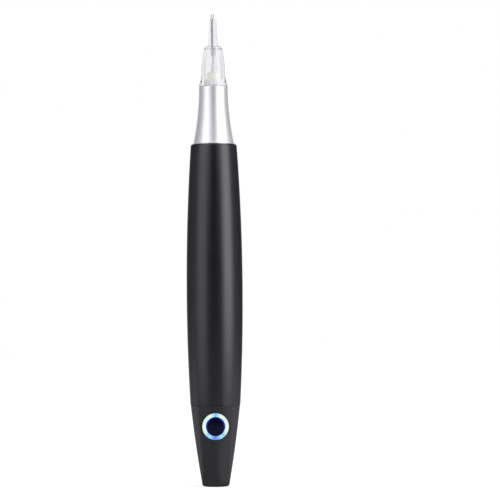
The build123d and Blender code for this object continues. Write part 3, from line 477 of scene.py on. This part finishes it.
# Light guide: a thin clear tube inside the ring that carries the LEDs' light to the cap's edge. It
# is moulded in acrylic and glows deep blue, strongest to the left and right.
deep, dim, faint = (0.002, 0.006, 0.36), (0.003, 0.006, 0.12), (0.0, 0.002, 0.015)


def dress(coat, *names):
    """Gives CAD nodes their finish."""
    for name in names:
        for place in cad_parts[name].material_slots:
            place.material = coat


guide_glow, nodes, links, shader = new_material("lit guide")
share, _, place = round_the_button(nodes, links)
emitted_colours = colours_round(nodes, links, share, [
    (0.0, deep), (0.16, deep), (0.20, dim), (0.25, faint), (0.30, dim), (0.34, deep), (0.5, deep),
    (0.58, dim), (0.66, faint), (0.84, faint), (0.92, dim),
])
links.new(emitted_colours, shader.inputs["Emission Color"])
shader.inputs["Emission Strength"].default_value = 1.0
shader.inputs["Roughness"].default_value = 0.15
streaks = add_group(nodes, links, blasted, {"Vector": place}, Grains_per_metre=3000.0)
links.new(between(nodes, links, streaks.outputs["Clouds"], (0.01, 0.02, 0.1, 1), (0.02, 0.04, 0.2, 1)),
          shader.inputs["Base Color"])
dress(guide_glow, "light_guide")

# Button cap: a disc moulded in dark plastic and polished, slightly domed. Its stem presses the
# switch, and it slides in the ring with a thin gap all round.
cap_radius = 2.9 * mm
cap_stem_radius = 1.3 * mm
cap_low, cap_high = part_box("button_cap")
cap_front, cap_stem_end = -cap_low.y, -cap_high.y
cap_thickness = 1.2 * mm
cap_back = cap_front - cap_thickness
cap_round = 0.18 * mm
cap_crown = 0.05 * mm
painted_rim_light_width = 0.29 * mm
pole = 0.02 * mm
crown = arc_through((cap_radius - cap_round, cap_front - cap_crown),
                    (cap_radius / 2, cap_front - cap_crown / 4), (pole, cap_front), steps=16)
button_cap = turned("button_disc", [
    (pole, cap_stem_end),
    (cap_stem_radius, cap_stem_end),
    (cap_stem_radius, cap_back),
    (cap_radius, cap_back),
    *rounded((cap_radius, cap_back), (cap_radius, cap_front - cap_crown),
             (cap_radius - cap_round * 2, cap_front - cap_crown), cap_round),
    *crown,
], ring=False)
lay_on_button_axis(button_cap)

cap_gloss, nodes, links, shader = new_material("button gloss")
share, radius, place = round_the_button(nodes, links)
polish = add_group(nodes, links, blasted, {"Vector": place}, Grains_per_metre=2500.0).outputs["Clouds"]
navy, navy_paler = (0.001, 0.003, 0.014, 1), (0.002, 0.004, 0.022, 1)
links.new(between(nodes, links, polish, navy, navy_paler), shader.inputs["Base Color"])
links.new(between(nodes, links, polish, 0.07, 0.13), shader.inputs["Roughness"])
# Painted light: a thin blue rim of LED light is painted on the cap's edge. It is strongest to the left and
# right and gone at top and bottom.
painted_edge_light = nodes.new("ShaderNodeMapRange")
painted_edge_light.interpolation_type = "SMOOTHERSTEP"
painted_edge_light.inputs["From Min"].default_value = cap_radius - painted_rim_light_width
painted_edge_light.inputs["From Max"].default_value = cap_radius
links.new(radius, painted_edge_light.inputs["Value"])
bright, dusk, unlit = (0.01, 0.03, 0.5), (0.005, 0.012, 0.2), (0.0, 0.001, 0.01)
painted_blue_light_round = colours_round(nodes, links, share, [
    (0.0, bright), (0.13, dusk), (0.25, unlit), (0.37, dusk), (0.5, bright), (0.63, dusk), (0.75, unlit),
    (0.87, dusk),
])
links.new(between(nodes, links, painted_edge_light.outputs[0], (0, 0, 0, 1), painted_blue_light_round),
          shader.inputs["Emission Color"])
shader.inputs["Emission Strength"].default_value = 0.4
shader.inputs["Specular IOR Level"].default_value = 0.18
button_cap.data.materials.append(cap_gloss)
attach(button_cap, "button")
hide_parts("button_cap")

# Barrel: a cigar-shaped tube turned from aluminium bar, blasted and anodised black. The tail cap
# screws into its lower end and the nose cone into its upper end, whose rim is rounded.
barrel_seam_radius = 8.45 * mm
barrel_rim_radius = 7.78 * mm
barrel_bore_radius = 7.5 * mm
barrel_thread_radius = 7.0 * mm
barrel_rim_round = 0.6 * mm
thread_length = 13.1 * mm
belly_above_seam = 38.4 * mm
barrel_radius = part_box("barrel")[1].x
barrel_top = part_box("barrel")[1].z
belly_z = seam_z + belly_above_seam
rim_inner = (barrel_thread_radius, barrel_top)
lower_side = upright_arc((barrel_radius, belly_z), (barrel_seam_radius, seam_z), steps=28)[::-1]
upper_side = upright_arc((barrel_radius, belly_z), (barrel_rim_radius, barrel_top), steps=36)
barrel = turned("barrel_shell", [
    (barrel_bore_radius, seam_z),
    *rounded((barrel_bore_radius, seam_z), lower_side[0], lower_side[1], seam_break, steps=3),
    *lower_side[1:],
    (barrel_radius, belly_z),
    *upper_side[:-1],
    *rounded(upper_side[-2], upper_side[-1], rim_inner, barrel_rim_round),
    rim_inner,
    (barrel_thread_radius, barrel_top - thread_length),
    (barrel_bore_radius, barrel_top - thread_length),
])
barrel.data.materials.append(anodised("barrel black anodised", seam_z, barrel_top))
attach(barrel, "handpiece")
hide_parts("barrel")

# Nose cone: turned from aluminium bar to a flared shell with a low collar at its foot, left bright
# and satin. Its spigot screws into the barrel, and the cartridge seats in its bore.
cone_foot_radius = 6.98 * mm
cone_tip_radius = 4.88 * mm
cone_collar_height = 0.5 * mm
cone_step = 0.1 * mm
cone_edge_round = 0.35 * mm
cone_spigot_radius = 6.95 * mm
cone_cavity_radius = 5.95 * mm
cone_cavity_drop = 0.4 * mm
cone_throat_radius = 3.3 * mm
cone_bore_radius = 3.93 * mm
shank_end_gap = 0.3 * mm
cone_low, cone_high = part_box("nose_cone")
throat_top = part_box("cartridge_shank")[0].z - shank_end_gap
collar_top = barrel_top + cone_collar_height
cone_tip = (cone_tip_radius, cone_high.z)
cone_tip_inner = (cone_bore_radius, cone_high.z)
flare = upright_arc(cone_tip, (cone_foot_radius - cone_step, collar_top), steps=32)[::-1]
nose_cone = turned("nose_cone_shell", [
    (cone_bore_radius, throat_top),
    (cone_throat_radius, throat_top),
    (cone_throat_radius, barrel_top - cone_cavity_drop),
    (cone_cavity_radius, barrel_top - cone_cavity_drop),
    (cone_cavity_radius, cone_low.z),
    (cone_spigot_radius, cone_low.z),
    (cone_spigot_radius, barrel_top),
    (cone_foot_radius, barrel_top),
    (cone_foot_radius, collar_top - 2 * cone_step),
    *flare,
    *rounded(flare[-1], cone_tip, cone_tip_inner, cone_edge_round),
    *rounded(cone_tip, cone_tip_inner, (cone_bore_radius, throat_top), seam_break, steps=3),
])

silver, silver_paler = (0.865, 0.87, 0.915, 1), (0.92, 0.922, 0.96, 1)
grain_over_marks = 3.0
satin_relief = 0.013 * mm
satin_silver, nodes, links, shader = new_material("satin silver")
place = nodes.new("ShaderNodeTexCoord").outputs["Object"]
apart = nodes.new("ShaderNodeSeparateXYZ")
links.new(place, apart.inputs[0])
marks = add_group(nodes, links, lathe_marks, {"Along": apart.outputs["Z"]}, Marks_per_metre=4500.0)
grain = add_group(nodes, links, blasted, {"Vector": place}, Grains_per_metre=2600.0)
shader.inputs["Metallic"].default_value = 1.0
links.new(between(nodes, links, grain.outputs["Clouds"], silver, silver_paler), shader.inputs["Base Color"])
links.new(between(nodes, links, marks.outputs["Height"], 0.40, 0.50), shader.inputs["Roughness"])
coarse = math_node(nodes, links, "MULTIPLY", grain.outputs["Height"], grain_over_marks)
relief = math_node(nodes, links, "ADD", marks.outputs["Height"], coarse)
bump(nodes, links, shader, relief, satin_relief, strength=0.6)
nose_cone.data.materials.append(satin_silver)
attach(nose_cone, "handpiece")
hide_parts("nose_cone")

# Cartridge tip: one clear moulding with a base flange, a flared cup, a round shoulder and a tapered
# nozzle with a slot in its side. Four low ribs inside the cup guide the plunger.
flange_radius = 4.83 * mm
flange_lip_radius = 4.6 * mm
flange_height = 1.1 * mm
flange_edge_round = 0.25 * mm
waist_radius = 4.01 * mm
waist_round = 2.0 * mm
flare_height = 3.7 * mm
waist_height = 2.3 * mm
dome_height = 6.3 * mm
shoulder_radius = 3.02 * mm
shoulder_round = 0.6 * mm
nozzle_root_radius = 1.8 * mm
nozzle_root_round = 0.25 * mm
nozzle_tip_radius = 1.15 * mm
nozzle_tip_round = 0.1 * mm
nozzle_bore_root = 1.05 * mm
nozzle_bore_tip = 0.82 * mm
tip_bore_radius = 3.15 * mm
tip_wall = 0.8 * mm
roof_thickness = 0.7 * mm
rib_depth = 0.5 * mm
rib_width = 0.45 * mm
rib_length = 4.6 * mm
rib_rise = 3.2 * mm
rib_count = 4
window_width = 1.1 * mm
window_bottom = 1.6 * mm
window_length = 5.6 * mm
tip_low, tip_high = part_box("cartridge_tip")
flange_top = tip_low.z + flange_height
waist_bottom = flange_top + flare_height
waist_top = waist_bottom + waist_height
shoulder_z = waist_top + dome_height
nozzle_top = tip_high.z
roof_bottom = shoulder_z - roof_thickness
lip_bottom = tip_low.z + flange_height / 2
flange_foot, flange_lip = (flange_radius, tip_low.z), (flange_lip_radius, flange_top)
cup_foot, cup_waist = (waist_radius, waist_bottom), (waist_radius, waist_top)
shoulder = (shoulder_radius, shoulder_z)
nozzle_root, nozzle_end = (nozzle_root_radius, shoulder_z), (nozzle_tip_radius, nozzle_top)
nozzle_mouth = (nozzle_bore_tip, nozzle_top)
bore_root, inner_corner = (nozzle_bore_root, roof_bottom), (shoulder_radius - tip_wall, roof_bottom)
inner_waist = (tip_bore_radius, waist_top)
tip = turned("cartridge_tip_clear", [
    (tip_bore_radius, tip_low.z),
    flange_foot,
    *rounded(flange_foot, (flange_radius, lip_bottom), flange_lip, flange_edge_round),
    *upright_arc(cup_foot, flange_lip, steps=12)[::-1],
    *rounded(cup_foot, cup_waist, shoulder, waist_round, steps=4),
    *rounded(cup_waist, shoulder, nozzle_root, shoulder_round, steps=8),
    *rounded(shoulder, nozzle_root, nozzle_end, nozzle_root_round, steps=5),
    *rounded(nozzle_root, nozzle_end, nozzle_mouth, nozzle_tip_round, steps=4),
    nozzle_mouth,
    bore_root,
    *rounded(bore_root, inner_corner, inner_waist, shoulder_round),
    inner_waist,
], sides=128)


def block(name, low, high):
    """A plain block between two corners, as a tool for joining or cutting."""
    bpy.ops.object.select_all(action="DESELECT")
    centre = [(a + b) / 2 for a, b in zip(low, high)]
    bpy.ops.mesh.primitive_cube_add(size=1, location=centre)
    made = bpy.context.object
    made.name = name
    made.scale = [b - a for a, b in zip(low, high)]
    bpy.ops.object.transform_apply(location=True, rotation=True, scale=True)
    return made


for i in range(rib_count):
    rib = block("rib", (tip_bore_radius - rib_depth, -rib_width / 2, waist_top - rib_length),
                (tip_bore_radius + rib_depth / 2, rib_width / 2, waist_top + rib_rise))
    rib.rotation_euler = (0, 0, 2 * pi * i / rib_count)
    bpy.ops.object.transform_apply(location=True, rotation=True, scale=True)
    cut(tip, rib, "UNION")
window_low = shoulder_z + window_bottom
window = block("window", (0, -window_width / 2, window_low),
               (2 * nozzle_root_radius, window_width / 2, window_low + window_length))
cut(tip, window, "DIFFERENCE")

# Its plastic has faint flow lines, and is greyer where the wall is seen along its length.
clear_tint, clear_tint_paler = (0.93, 0.93, 0.957, 1), (0.957, 0.957, 0.977, 1)
wall_tint = (0.55, 0.55, 0.585, 1)
wall_tint_falloff = 3.0
flow_relief = 0.004 * mm
clear_plastic, nodes, links, shader = new_material("clear plastic")
place = nodes.new("ShaderNodeTexCoord").outputs["Object"]
flow = add_group(nodes, links, blasted, {"Vector": place}, Grains_per_metre=900.0)
body = between(nodes, links, flow.outputs["Clouds"], clear_tint, clear_tint_paler)
wall = nodes.new("ShaderNodeLayerWeight")
wall.inputs["Blend"].default_value = 0.5
along_wall = math_node(nodes, links, "POWER", wall.outputs["Facing"], wall_tint_falloff)
open_face = math_node(nodes, links, "SUBTRACT", 1.0, along_wall)
links.new(between(nodes, links, open_face, wall_tint, body), shader.inputs["Base Color"])
shader.inputs["Roughness"].default_value = 0.08
shader.inputs["IOR"].default_value = 1.49
shader.inputs["Transmission Weight"].default_value = 1.0
bump(nodes, links, shader, flow.outputs["Height"], flow_relief, strength=0.3)
tip.data.materials.append(clear_plastic)
# Clear plastic throws next to no shadow on what it holds.
tip.visible_shadow = False
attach(tip, "cartridge")
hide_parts("cartridge_tip")

# Cartridge shank: the white rear tube of the cartridge, moulded, with a spigot in the clear tip.
# Only its top shows, through the tip's flange.
moulded_white, moulded_white_paler = (0.80, 0.80, 0.81), (0.85, 0.85, 0.86)


def plain(name, colour, variation, roughness, metallic=0.0, grains=2500.0, relief=0.004 * mm):
    """A plain material with a fine grain, clouded from its colour to its variation."""
    made, nodes, links, shader = new_material(name)
    place = nodes.new("ShaderNodeTexCoord").outputs["Object"]
    grain = add_group(nodes, links, blasted, {"Vector": place}, Grains_per_metre=grains)
    clouds = grain.outputs["Clouds"]
    smoother, rougher = 0.85 * roughness, 1.15 * roughness
    links.new(between(nodes, links, clouds, (*colour, 1), (*variation, 1)), shader.inputs["Base Color"])
    links.new(between(nodes, links, clouds, smoother, rougher), shader.inputs["Roughness"])
    shader.inputs["Metallic"].default_value = metallic
    bump(nodes, links, shader, grain.outputs["Height"], relief, strength=0.5)
    return made


white_plastic = plain("white moulded plastic", moulded_white, moulded_white_paler, 0.42)
dress(white_plastic, "cartridge_shank", "switch_plunger")

# Silicone bell: it seals the plunger in the cartridge and pulls it back. It is moulded in ivory
# silicone, and its flange is clamped between shank and tip.
membrane_radius = 2.05 * mm
membrane_wall = 0.3 * mm
membrane_round = 0.7 * mm
membrane_edge_round = 0.1 * mm
membrane_flange_radius = 3.11 * mm
membrane_bore = 0.72 * mm
bell_low, bell_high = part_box("cartridge_membrane")
bell_inner = membrane_radius - membrane_wall
bell_under = bell_high.z - membrane_wall
bell_rim = (membrane_flange_radius, bell_low.z + membrane_wall)
bell_foot, bell_shoulder = (membrane_radius, bell_low.z + membrane_wall), (membrane_radius, bell_high.z)
bell_mouth, bell_mouth_under = (membrane_bore, bell_high.z), (membrane_bore, bell_under)
inner_foot, inner_shoulder = (bell_inner, bell_low.z), (bell_inner, bell_under)
membrane = turned("membrane_bell", [
    inner_foot,
    (membrane_flange_radius, bell_low.z),
    bell_rim,
    *rounded(bell_rim, bell_foot, bell_shoulder, membrane_wall, steps=5),
    *rounded(bell_foot, bell_shoulder, bell_mouth, membrane_round, steps=8),
    *rounded(bell_shoulder, bell_mouth, bell_mouth_under, membrane_edge_round, steps=3),
    bell_mouth_under,
    *rounded(bell_mouth_under, inner_shoulder, inner_foot, membrane_round - membrane_wall),
], sides=96)
ivory, ivory_paler = (0.86, 0.835, 0.77), (0.90, 0.88, 0.82)
membrane.data.materials.append(plain("ivory silicone", ivory, ivory_paler, 0.35, grains=3000.0))
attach(membrane, "cartridge")
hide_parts("cartridge_membrane")
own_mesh(membrane)

# Plunger: the pale stem that the push rod drives, moulded in ivory plastic. Its head runs in the
# shank, and the needle bar is pressed into its top.
plunger_radius = 0.68 * mm
plunger_foot_radius = 1.2 * mm
plunger_head_radius = 2.6 * mm
plunger_head = 1.2 * mm
plunger_edge = 0.12 * mm
plunger_low, plunger_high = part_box("plunger")
foot_top = bell_low.z
head_top = plunger_low.z + plunger_head
stem_low, stem_end = (pole, plunger_low.z), (pole, plunger_high.z)
head_foot, head_rim = (plunger_head_radius, plunger_low.z), (plunger_head_radius, head_top)
foot_root, foot_edge = (plunger_foot_radius, head_top), (plunger_foot_radius, foot_top)
stem_root, stem_rim = (plunger_radius, foot_top), (plunger_radius, plunger_high.z)
plunger = turned("plunger_stem", [
    stem_low,
    *rounded(stem_low, head_foot, head_rim, plunger_edge, steps=3),
    *rounded(head_foot, head_rim, foot_root, plunger_edge, steps=3),
    foot_root,
    *rounded(foot_root, foot_edge, stem_root, plunger_edge, steps=3),
    stem_root,
    *rounded(stem_root, stem_rim, stem_end, plunger_edge, steps=4),
    stem_end,
], ring=False, sides=64)
old_ivory, old_ivory_paler = (0.70, 0.665, 0.60), (0.78, 0.745, 0.68)
plunger.data.materials.append(plain("ivory moulded plastic", old_ivory, old_ivory_paler, 0.45))
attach(plunger, "needle")
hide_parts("plunger")

# Needles: two ground steel needles, their points spread in a slight V, soldered into the holder
# that the thin bar carries.
needle_radius = 0.175 * mm
needle_places = (-0.56 * mm, -0.18 * mm)
needle_tips = (-0.54 * mm, 0.32 * mm)
needle_point = 0.14 * mm
needle_point_length = 2.3 * mm
needle_low, needle_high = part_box("needles")
taper_start = needle_high.z - needle_point_length
needle_sides = 32
taper_steps = 6
bpy.ops.object.select_all(action="DESELECT")
pair = []
for place, tip_place in zip(needle_places, needle_tips):
    bpy.ops.mesh.primitive_circle_add(vertices=needle_sides, radius=needle_radius, fill_type="NGON",
                                      location=(place, 0, needle_low.z))
    pair.append(bpy.context.object)
    bpy.ops.object.transform_apply(location=True, rotation=True, scale=True)
    bpy.ops.object.mode_set(mode="EDIT")
    bpy.ops.mesh.select_all(action="SELECT")
    bpy.ops.mesh.extrude_region_move(TRANSFORM_OT_translate={"value": (0, 0, taper_start - needle_low.z)})
    lean = tip_place - place
    radius = needle_radius
    for i in range(1, taper_steps + 1):
        bpy.ops.mesh.extrude_region_move(TRANSFORM_OT_translate={
            "value": (lean / taper_steps, 0, needle_point_length / taper_steps)})
        share = i / taper_steps
        next_radius = needle_radius + (needle_point - needle_radius) * share ** 2
        centre = (place + lean * share, 0, taper_start + needle_point_length * share)
        thinner = next_radius / radius
        bpy.ops.transform.resize(value=(thinner, thinner, 1), center_override=centre)
        radius = next_radius
    bpy.ops.mesh.select_all(action="SELECT")
    bpy.ops.mesh.normals_make_consistent(inside=False)
    bpy.ops.object.mode_set(mode="OBJECT")
for needle in pair:
    needle.select_set(True)
bpy.context.view_layer.objects.active = pair[0]
bpy.ops.object.join()
needles = bpy.context.object
needles.name = needles.data.name = "needle_pair"
bpy.ops.object.shade_smooth_by_angle(angle=flat_angle)
steel, steel_paler = (0.32, 0.32, 0.33), (0.40, 0.40, 0.41)
needles.data.materials.append(plain("ground steel", steel, steel_paler, 0.3, 1.0, 5000.0, 0.002 * mm))
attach(needles, "needle")
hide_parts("needles")

# Needle holder and bar: a drilled steel block soldered round the needles, and the thin bar that
# is pressed into the plunger and carries it. Both are dulled by the solder.
dress(plain("soldered steel", (0.50, 0.50, 0.49), (0.60, 0.60, 0.58), 0.35, 1.0, 4000.0, 0.006 * mm),
      "needle_holder", "needle_bar")

# Rubber rings: moulded black rubber in the grooves at the seam, in the cone and round the shank.
dress(plain("black rubber", (0.012, 0.012, 0.012), (0.02, 0.02, 0.02), 0.6, 0.0, 6000.0),
      "seam_o_ring", "nose_o_ring", "cartridge_grip_ring")

# Charging socket: a nickel-plated bush in the tail face, a body moulded in black plastic and two
# sprung contact leaves. Small parts further in have the same plating or the same plastic.
nickel = plain("nickel plate", (0.62, 0.60, 0.55), (0.70, 0.68, 0.63), 0.22, 1.0, 5000.0, 0.002 * mm)
black_plastic = plain("black moulded plastic", (0.014, 0.014, 0.015), (0.022, 0.022, 0.024), 0.45)
dress(nickel, "charge_socket_bush", "charge_contacts", "battery_plus_contact", "motor_magnet")
dress(black_plastic, "charge_socket_body", "battery_cradle", "motor_sleeve", "motor_brush_cap",
      "button_switch", "board_chips")

# Control board and the contact plate: glass laminate under green solder mask, in which the weave
# and the copper below show faintly.
board_green, nodes, links, shader = new_material("green solder mask")
place = nodes.new("ShaderNodeTexCoord").outputs["Object"]
weave = nodes.new("ShaderNodeTexBrick")
weave.inputs["Scale"].default_value = 900.0
weave.inputs["Color1"].default_value = (0.010, 0.10, 0.035, 1)
weave.inputs["Color2"].default_value = (0.016, 0.14, 0.05, 1)
weave.inputs["Mortar"].default_value = (0.008, 0.07, 0.025, 1)
upright = nodes.new("ShaderNodeMapping")
upright.inputs["Rotation"].default_value = (pi / 2, 0, 0)
links.new(place, upright.inputs["Vector"])
links.new(upright.outputs[0], weave.inputs["Vector"])
links.new(weave.outputs["Color"], shader.inputs["Base Color"])
shader.inputs["Roughness"].default_value = 0.25
dress(board_green, "control_board", "tail_contact_plate")

# LEDs: four small white lights behind the guide, in milky resin.
dress(plain("milky resin", (0.80, 0.80, 0.66), (0.88, 0.88, 0.75), 0.3), "button_leds")

# Battery: a rechargeable cell in shrunk blue film with a slight ripple round its ends.
dress(plain("shrunk blue film", (0.02, 0.07, 0.25), (0.03, 0.10, 0.32), 0.25, 0.0, 1200.0, 0.02 * mm),
      "battery")

# Steel parts of motor and drive: ground shaft, rod, cam, pins and springs, and the drawn can.
dress(plain("ground bright steel", (0.45, 0.45, 0.46), (0.55, 0.55, 0.56), 0.28, 1.0, 5000.0, 0.003 * mm),
      "motor_shaft", "push_rod", "cam_follower", "drive_cam", "guide_pin", "return_spring",
      "motor_screws", "motor_housing", "battery_spring")

# Bearings and bush: sintered bronze, porous and a little oily.
dress(plain("sintered bronze", (0.48, 0.30, 0.12), (0.56, 0.36, 0.16), 0.45, 1.0, 9000.0, 0.02 * mm),
      "guide_bush", "front_bearing", "rear_bearing")

# Coil, commutator and brushes: copper, wound and drawn.
dress(plain("drawn copper", (0.72, 0.30, 0.18), (0.80, 0.36, 0.22), 0.3, 1.0, 7000.0, 0.01 * mm),
      "commutator", "motor_coil", "motor_brushes")

# Drive housing and its cap: aluminium, machined and left bare.
dress(plain("machined aluminium", (0.60, 0.60, 0.62), (0.70, 0.70, 0.72), 0.32, 1.0, 4000.0, 0.006 * mm),
      "drive_frame", "drive_cap")

# Leads: three thin wires in red insulation.
dress(plain("red insulation", (0.35, 0.015, 0.012), (0.42, 0.02, 0.016), 0.4), "lead_wires")

# The studio: a white sweep, soft boxes to the left and right in front, the right one brightest, and
# grey flags and cards that keep the pen's middle and its edges dark. Three cards lie on the floor.
floor_size = 3.0
floor_glow = 0.55
bpy.ops.object.select_all(action="DESELECT")
bpy.ops.mesh.primitive_plane_add(size=floor_size, location=(0, 0, 0))
floor = bpy.context.object
floor.name = "floor"


def white_where_seen(nodes, links):
    """1 for rays that show the background: from the camera, in gloss and through clear plastic."""
    path = nodes.new("ShaderNodeLightPath").outputs
    seen = math_node(nodes, links, "MAXIMUM", path["Is Camera Ray"], path["Is Glossy Ray"])
    return math_node(nodes, links, "MAXIMUM", seen, path["Is Transmission Ray"])


paper, nodes, links, shader = new_material("white paper")
shader.inputs["Base Color"].default_value = (0.8, 0.8, 0.8, 1)
shader.inputs["Roughness"].default_value = 0.9
shader.inputs["Emission Color"].default_value = (1, 1, 1, 1)
links.new(math_node(nodes, links, "MULTIPLY", white_where_seen(nodes, links), floor_glow),
          shader.inputs["Emission Strength"])
floor.data.materials.append(paper)

world = bpy.data.worlds.new("white studio")
bpy.context.scene.world = world
world.use_nodes = True
nodes, links = world.node_tree.nodes, world.node_tree.links
sky_light = nodes["Background"]
room_level = 0.6
links.new(between(nodes, links, white_where_seen(nodes, links), room_level, 1.0),
          sky_light.inputs["Strength"])
sky_light.inputs["Color"].default_value = (1, 1, 1, 1)


def facing_pen(azimuth, distance, height):
    """Where a lamp or flag stands round the pen, and how it is turned to face it."""
    angle = radians(azimuth)
    return (distance * sin(angle), -distance * cos(angle), height), (pi / 2, 0, angle)


# Clear plastic doesn't show the lamps, so that it stays clear from every side.
lamp_distance = 0.42
for name, azimuth, size, height, watts in (
    ("soft_box_left", -54, (0.28, 0.56), 0.28, 0.09),
    ("soft_box_left_high", -50, (0.39, 0.34), 0.35, 0.19),
    ("soft_box_right", 57, (0.30, 0.56), 0.30, 1.05),
):
    place, turn = facing_pen(azimuth, lamp_distance, height)
    bpy.ops.object.light_add(type="AREA", location=place, rotation=turn)
    lamp = bpy.context.object
    lamp.name = name
    lamp.data.shape = "RECTANGLE"
    lamp.data.size, lamp.data.size_y = size
    lamp.data.energy = watts
    lamp.visible_camera = False
    lamp.visible_transmission = False


def painted_card(name, level):
    """A flag's material: card painted to one level of brightness."""
    made, nodes, links, shader = new_material(name)
    shader.inputs["Base Color"].default_value = (0.0, 0.0, 0.0, 1)
    shader.inputs["Roughness"].default_value = 1.0
    shader.inputs["Specular IOR Level"].default_value = 0.0
    shader.inputs["Emission Color"].default_value = (1, 1, 1, 1)
    shader.inputs["Emission Strength"].default_value = level
    return made


dark_card = painted_card("dark card", 0.03)
low_card = painted_card("low card", 0.4)
grey_card = painted_card("grey card", 0.36)
soft_card = painted_card("soft card", 0.68)
light_card = painted_card("light card", 0.9)
flag_distance = 1.1 * lamp_distance
on_floor = 0.2 * mm
lying = (0, 0, 0)

# Each flag's name, place, turn, size and card, and whether clear plastic alone shows it. The others
# are seen in gloss alone.
flags = [
    ("flag_front", *facing_pen(1, flag_distance, 0.09), (0.62, 0.18), dark_card, False),
    ("flag_front_high", *facing_pen(1, flag_distance, 0.38), (0.27, 0.4), dark_card, False),
    ("flag_left", *facing_pen(-112, flag_distance, 0.3), (0.70, 0.6), grey_card, False),
    ("flag_right", *facing_pen(116, flag_distance, 0.3), (0.72, 0.6), grey_card, False),
    ("glass_flag_back", *facing_pen(180, flag_distance, 0.3), (0.5, 0.6), light_card, True),
    ("floor_card_far", (0, -0.23, on_floor), lying, (0.6, 0.36), low_card, False),
    ("floor_card_left", (-0.147, -0.0225, on_floor), lying, (0.306, 0.055), low_card, False),
    ("floor_card_right", (0.153, -0.0225, on_floor), lying, (0.294, 0.055), soft_card, False),
]
for name, place, turn, size, card, for_glass in flags:
    bpy.ops.mesh.primitive_plane_add(size=1, location=place, rotation=turn)
    flag = bpy.context.object
    flag.name = name
    flag.scale = (*size, 1)
    flag.data.materials.append(card)
    flag.visible_camera = False
    flag.visible_diffuse = False
    flag.visible_shadow = False
    flag.visible_glossy = not for_glass
    flag.visible_transmission = for_glass

bpy.context.scene.view_settings.view_transform = "Standard"
